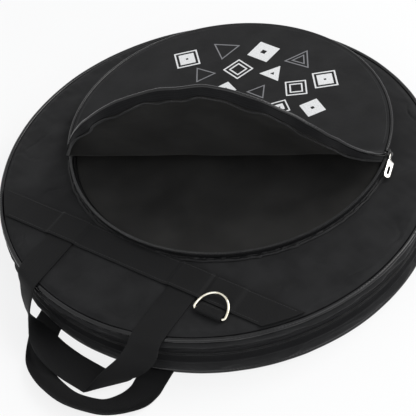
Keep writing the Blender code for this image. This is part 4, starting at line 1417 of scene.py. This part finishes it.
def bandStitches(name, offset):
    # Along one edge of the front band, on its upper side
    rim = bag["panelRim"] - 0.006
    y = bag["bandY"] + offset
    x = np.linspace(-1, 1, 900) * math.sqrt(rim * rim - y * y)
    z = bandHeight(x) + bag["webThick"] / 2 + 0.00002
    path = np.stack([x, y + 0 * x, z], axis=-1)
    stitchRow(name, path, np.tile(upward, (len(x), 1)), "main_lid")


bandStitches("bandStitchesRear", bag["web"] / 2 - 0.0028)
bandStitches("bandStitchesFront", 0.0028 - bag["web"] / 2)


def pocketStitches(name, start, end, body):
    # Round the pocket's lid, a little inside its piping
    turn = np.linspace(start, end, 900)
    spots = arcPlace(turn, stitchShape["lidRadius"])
    path = lidPoint(*spots, -0.00004)
    stitchRow(name, path, (path - lidPoint(*spots, 0.001)) * 1000, body)


pocketStitches("lidStitchesRear", halfOpen + 0.06, tau - halfOpen - 0.06, "main_lid")
pocketStitches("lidStitchesFlap", 0.12 - halfOpen, halfOpen - 0.12, "flap")


def tabStitches():
    # One row across the ring's tab, beside the band
    edge = tabShape["wide"] / 2 - 0.003
    x = tabShape["x"] + np.linspace(-edge, edge, 40)
    near = tabPath[-3]
    path = np.stack([x, near[1] + 0 * x, near[2] + tabShape["thick"] / 2 + 0 * x], axis=-1)
    stitchRow("tabStitches", path, np.tile(upward, (len(x), 1)), "main_lid")


tabStitches()


# The print on the pocket's lid: bold diamonds and outlined triangles set in arcs

def inkShape(corners, centre, turn, outer, inner):
    # The band between two polygons of one shape: points of both loops in the lid's own plane
    turns = turn + tau * np.arange(corners + 1) / corners
    spots = np.stack([np.cos(turns), np.sin(turns)], axis=-1)[:, None]
    share = np.linspace(0, 1, 10, endpoint=False)[None, :, None]
    loop = (spots[:-1] * (1 - share) + spots[1:] * share).reshape(-1, 1, 2)
    return np.asarray(centre) + loop * np.linspace(outer, inner, 4)[None, :, None]


def inkPiece(name, shapes, look):
    # All shapes of one ink as thin raised films that follow the lid's cloth
    verts, faces, uvs = [], [], []
    count = 0
    for shape in shapes:
        spots = (shape[..., 0], shape[..., 1])
        film = [lidPoint(*spots, -0.00020), lidPoint(*spots, 0.00002)[:, ::-1]]
        points = np.concatenate(film, axis=1)
        rows, columns = points.shape[:2]
        faces += quads(rows, columns, count, True, True).tolist()
        verts.append(points.reshape(-1, 3))
        uvs.append(np.concatenate([shape, shape[:, ::-1]], axis=1).reshape(-1, 2))
        count += rows * columns
    piece = meshPiece(name, np.concatenate(verts), faces, look, np.concatenate(uvs), 40)
    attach(piece, "main_lid")


printRows = (
    # Distance from the pocket's middle and turn from the rear, half size, corners, and the bands
    # of each motif as shares of its size, in millimetres and degrees
    (150, -28, 23, 4, ((1.0, 0.86), (0.66, 0.10))),
    (152, -7, 22, 3, ((1.0, 0.84),)),
    (148, 14, 23, 4, ((1.0, 0.22),)),
    (152, 35, 22, 3, ((1.0, 0.84), (0.55, 0.40))),
    (148, 56, 22, 4, ((1.0, 0.86), (0.66, 0.10))),
    (108, -24, 18, 3, ((1.0, 0.82),)),
    (108, 2, 21, 4, ((1.0, 0.86), (0.62, 0.48))),
    (110, 28, 18, 3, ((1.0, 0.20),)),
    (108, 52, 20, 4, ((1.0, 0.86), (0.62, 0.48))),
    (112, 76, 18, 4, ((1.0, 0.18),)),
    (68, -8, 15, 4, ((1.0, 0.22),)),
    (70, 30, 16, 3, ((1.0, 0.80),)),
    (72, 66, 16, 4, ((1.0, 0.84), (0.5, 0.10))),
)
inkBands = {"white": [], "grey": []}
for away, degrees, size, corners, bands in printRows:
    aim = math.radians(degrees)
    centre = (away * math.sin(aim) / 1000, -away * math.cos(aim) / 1000)
    lean = -aim if corners == 4 else math.pi / 2 - aim
    for outer, inner in bands:
        tone = "grey" if corners == 3 and outer - inner < 0.3 else "white"
        reach = (size * outer / 1000, size * inner / 1000)
        inkBands[tone].append(inkShape(corners, centre, lean, *reach))
inkPiece("lidPrintWhite", inkBands["white"], whiteInk)
inkPiece("lidPrintGrey", inkBands["grey"], greyInk)


# Zip pulls: a wire eye and a slotted bar with rounded edges, each twisted a little where it hangs

pullShape = {
    "eyeLong": 0.0102,
    "eyeHalf": 0.0027,
    "wire": 0.0008,
    "start": 0.0092,
    "half": 0.0043,
    "thick": 0.0015,
    "tail": 0.55,  # how round the end next to the eye is
    "slotStart": 0.52,  # share of the pull's reach
    "slotEnd": 0.0052,
    "slotHalf": 0.0013,
    "swing": 0.0030,  # how far a full twist moves the bar outwards
}


def pullFrame(nodeName, sliderName):
    # The pivot, the three axes and the reach of a pull's solid, from the spread of its points
    def spots(name):
        # A node's points where they stand
        node = bpy.data.objects[name]
        turned = np.array(node.matrix_world)
        return pointsOf(node.data) @ turned[:3, :3].T + turned[:3, 3]

    points = spots(nodeName)
    base = points.mean(axis=0)
    middle = (points.min(axis=0) + points.max(axis=0)) / 2
    along, wide, face = np.linalg.svd(points - base, full_matrices=False)[2]
    if np.dot(spots(sliderName).mean(axis=0) - middle, along) > 0:
        along = -along
    if wide[2] < 0:
        wide = -wide
    if np.dot(face, middle * (1, 1, 0)) < 0:
        face = -face
    offAlong, offWide, offFace = ((points - base) @ axis for axis in (along, wide, face))
    pivot = base + along * (offAlong.min() + 0.0006)
    pivot = pivot + wide * (offWide.min() + offWide.max()) / 2
    pivot = pivot + face * (offFace.min() + offFace.max()) / 2
    return pivot, along, wide, face, np.ptp(offAlong) - 0.0006


def zipPull(name, nodeName, sliderName, twist):
    # A wire along a squared oval for the eye, and a stadium with a slot for the bar
    pivot, along, wide, face, reach = pullFrame(nodeName, sliderName)

    def place(local):
        # Turned about the pull's length by a twist that grows past the eye, and moved out with it
        share = smoothStep(local[..., 0], 0.004, 0.013)
        turned = twist * share
        wideways = local[..., 1] * np.cos(turned) + local[..., 2] * np.sin(turned)
        outwards = local[..., 2] * np.cos(turned) - local[..., 1] * np.sin(turned)
        outwards = outwards + pullShape["swing"] * math.sin(twist) * share
        spots = along * local[..., :1] + wide * wideways[..., None] + face * outwards[..., None]
        return (pivot + spots).reshape(-1, 3)

    turn = np.linspace(0, tau, 48, endpoint=False)
    cos, sin = np.cos(turn), np.sin(turn)
    squareCos, squareSin = (np.sign(wave) * np.abs(wave) ** 0.62 for wave in (cos, sin))
    eyeX = pullShape["eyeLong"] / 2 * (1 + squareCos)
    eye = np.stack([eyeX, pullShape["eyeHalf"] * squareSin, 0 * turn], axis=-1)
    ring = np.linspace(0, tau, 12, endpoint=False)
    way = unit(np.roll(eye, -1, axis=0) - np.roll(eye, 1, axis=0))
    side = np.stack([-way[:, 1], way[:, 0], 0 * turn], axis=-1)
    wire = eye[:, None] + side[:, None] * (np.cos(ring) * pullShape["wire"])[:, None]
    wire[..., 2] += np.sin(ring) * pullShape["wire"]
    # The bar's rim is rounded by a profile of share towards the slot against height
    half = pullShape["half"]
    ends = np.where(cos > 0, reach - half, pullShape["start"] + half * pullShape["tail"])
    ends = ends + half * cos * np.where(cos > 0, 1, pullShape["tail"])
    outer = np.stack([ends, half * sin], axis=-1)
    low, high = reach * pullShape["slotStart"], reach - pullShape["slotEnd"]
    slotX = (low + high) / 2 + np.clip(cos * 3, -1, 1) * (high - low) / 2
    slot = np.stack([slotX, pullShape["slotHalf"] * sin], axis=-1)
    profile = np.array([(0, 0.25), (0.06, 0.42), (0.16, 0.5), (0.84, 0.5), (0.94, 0.42), (1, 0.25)])
    profile = np.concatenate([profile, profile[::-1] * (1, -1)])
    share = profile[None, :, :1]
    flat = outer[:, None] * (1 - share) + slot[:, None] * share
    height = profile[None, :, 1:] * pullShape["thick"] + 0 * flat[..., :1]
    verts = np.concatenate([place(wire), place(np.concatenate([flat, height], axis=-1))])
    loops = quads(48, 12, 0, True, True)
    pull = meshPiece(name, verts, np.concatenate([loops, loops + 48 * 12]), pullMetal, sharp=50)
    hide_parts(nodeName)
    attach(pull, nodeName)


zipPull("pocketPull", "pocket_pull", "pocket_slider", math.radians(62))
zipPull("mainPullLeft", "main_pull_left", "main_slider_left", math.radians(8))
zipPull("mainPullRight", "main_pull_right", "main_slider_right", math.radians(8))
for nodeName in ("pocket_slider", "main_slider_left", "main_slider_right"):
    slot = bpy.data.objects[nodeName].material_slots[0]
    slot.link = "OBJECT"
    slot.material = sliderMetal
print("trims made")


# Stage: a pale floor that keeps the shadow, and white wherever the camera or a reflection looks

def raysThatSee(tree):
    # 1 for what the camera sees straight on, in a reflection or through glass
    seen = addNode(tree, "LightPath").outputs
    either = maths(tree, "MAXIMUM", seen["Is Camera Ray"], seen["Is Glossy Ray"])
    return maths(tree, "MAXIMUM", either, seen["Is Transmission Ray"])


def stageLook():
    # Pale cloth lit as usual, mixed with a white glow for the rays that see it
    look, tree, shader = newLook("paleFloor")
    shader.inputs["Base Color"].default_value = (0.86, 0.86, 0.86, 1)
    shader.inputs["Roughness"].default_value = 0.9
    glow = addNode(tree, "Emission", {"Color": (1, 1, 1, 1), "Strength": 1.0}).outputs[0]
    share = maths(tree, "MULTIPLY", raysThatSee(tree), 0.80)
    mixed = addNode(tree, "MixShader", {0: share, 1: shader.outputs[0], 2: glow}).outputs[0]
    tree.links.new(mixed, tree.nodes["Material Output"].inputs[0])
    return look


bpy.ops.mesh.primitive_plane_add(size=12, location=(0, 0, -0.0002))
floor = bpy.context.object
floor.name = "floor"
floor.data.materials.append(stageLook())

world = bpy.data.worlds.new("studio")
scene.world = world
world.use_nodes = True
worldTree = world.node_tree
light = worldTree.nodes["Background"]
light.inputs[0].default_value = (0.93, 0.96, 1.0, 1)
light.inputs[1].default_value = 0.52
white = addNode(worldTree, "Background", {0: (1, 1, 1, 1)}).outputs[0]
inputs = {0: raysThatSee(worldTree), 1: light.outputs[0], 2: white}
mixer = addNode(worldTree, "MixShader", inputs)
worldTree.links.new(mixer.outputs[0], worldTree.nodes["World Output"].inputs[0])

for name, place, energy, size, colour in (
    ("keyLamp", (1.05, 1.35, 1.8), 34, 1.4, (1.0, 0.99, 0.97)),
    ("fillLamp", (1.9, -0.2, 1.5), 15, 1.6, (0.97, 0.98, 1.0)),
    ("frontLamp", (0.5, -1.9, 1.3), 8, 1.4, (1.0, 1.0, 1.0)),
):
    data = bpy.data.lights.new(name, "AREA")
    data.energy = energy
    data.size = size
    data.color = colour
    lamp = bpy.data.objects.new(name, data)
    scene.collection.objects.link(lamp)
    lamp.location = place
    away = np.array([0.0, 0.0, 0.05]) - np.array(place)
    flatReach = math.hypot(away[0], away[1])
    lamp.rotation_euler = (math.atan2(flatReach, -away[2]), 0, math.atan2(-away[0], away[1]))

scene.view_settings.view_transform = "Standard"

print("scene done")
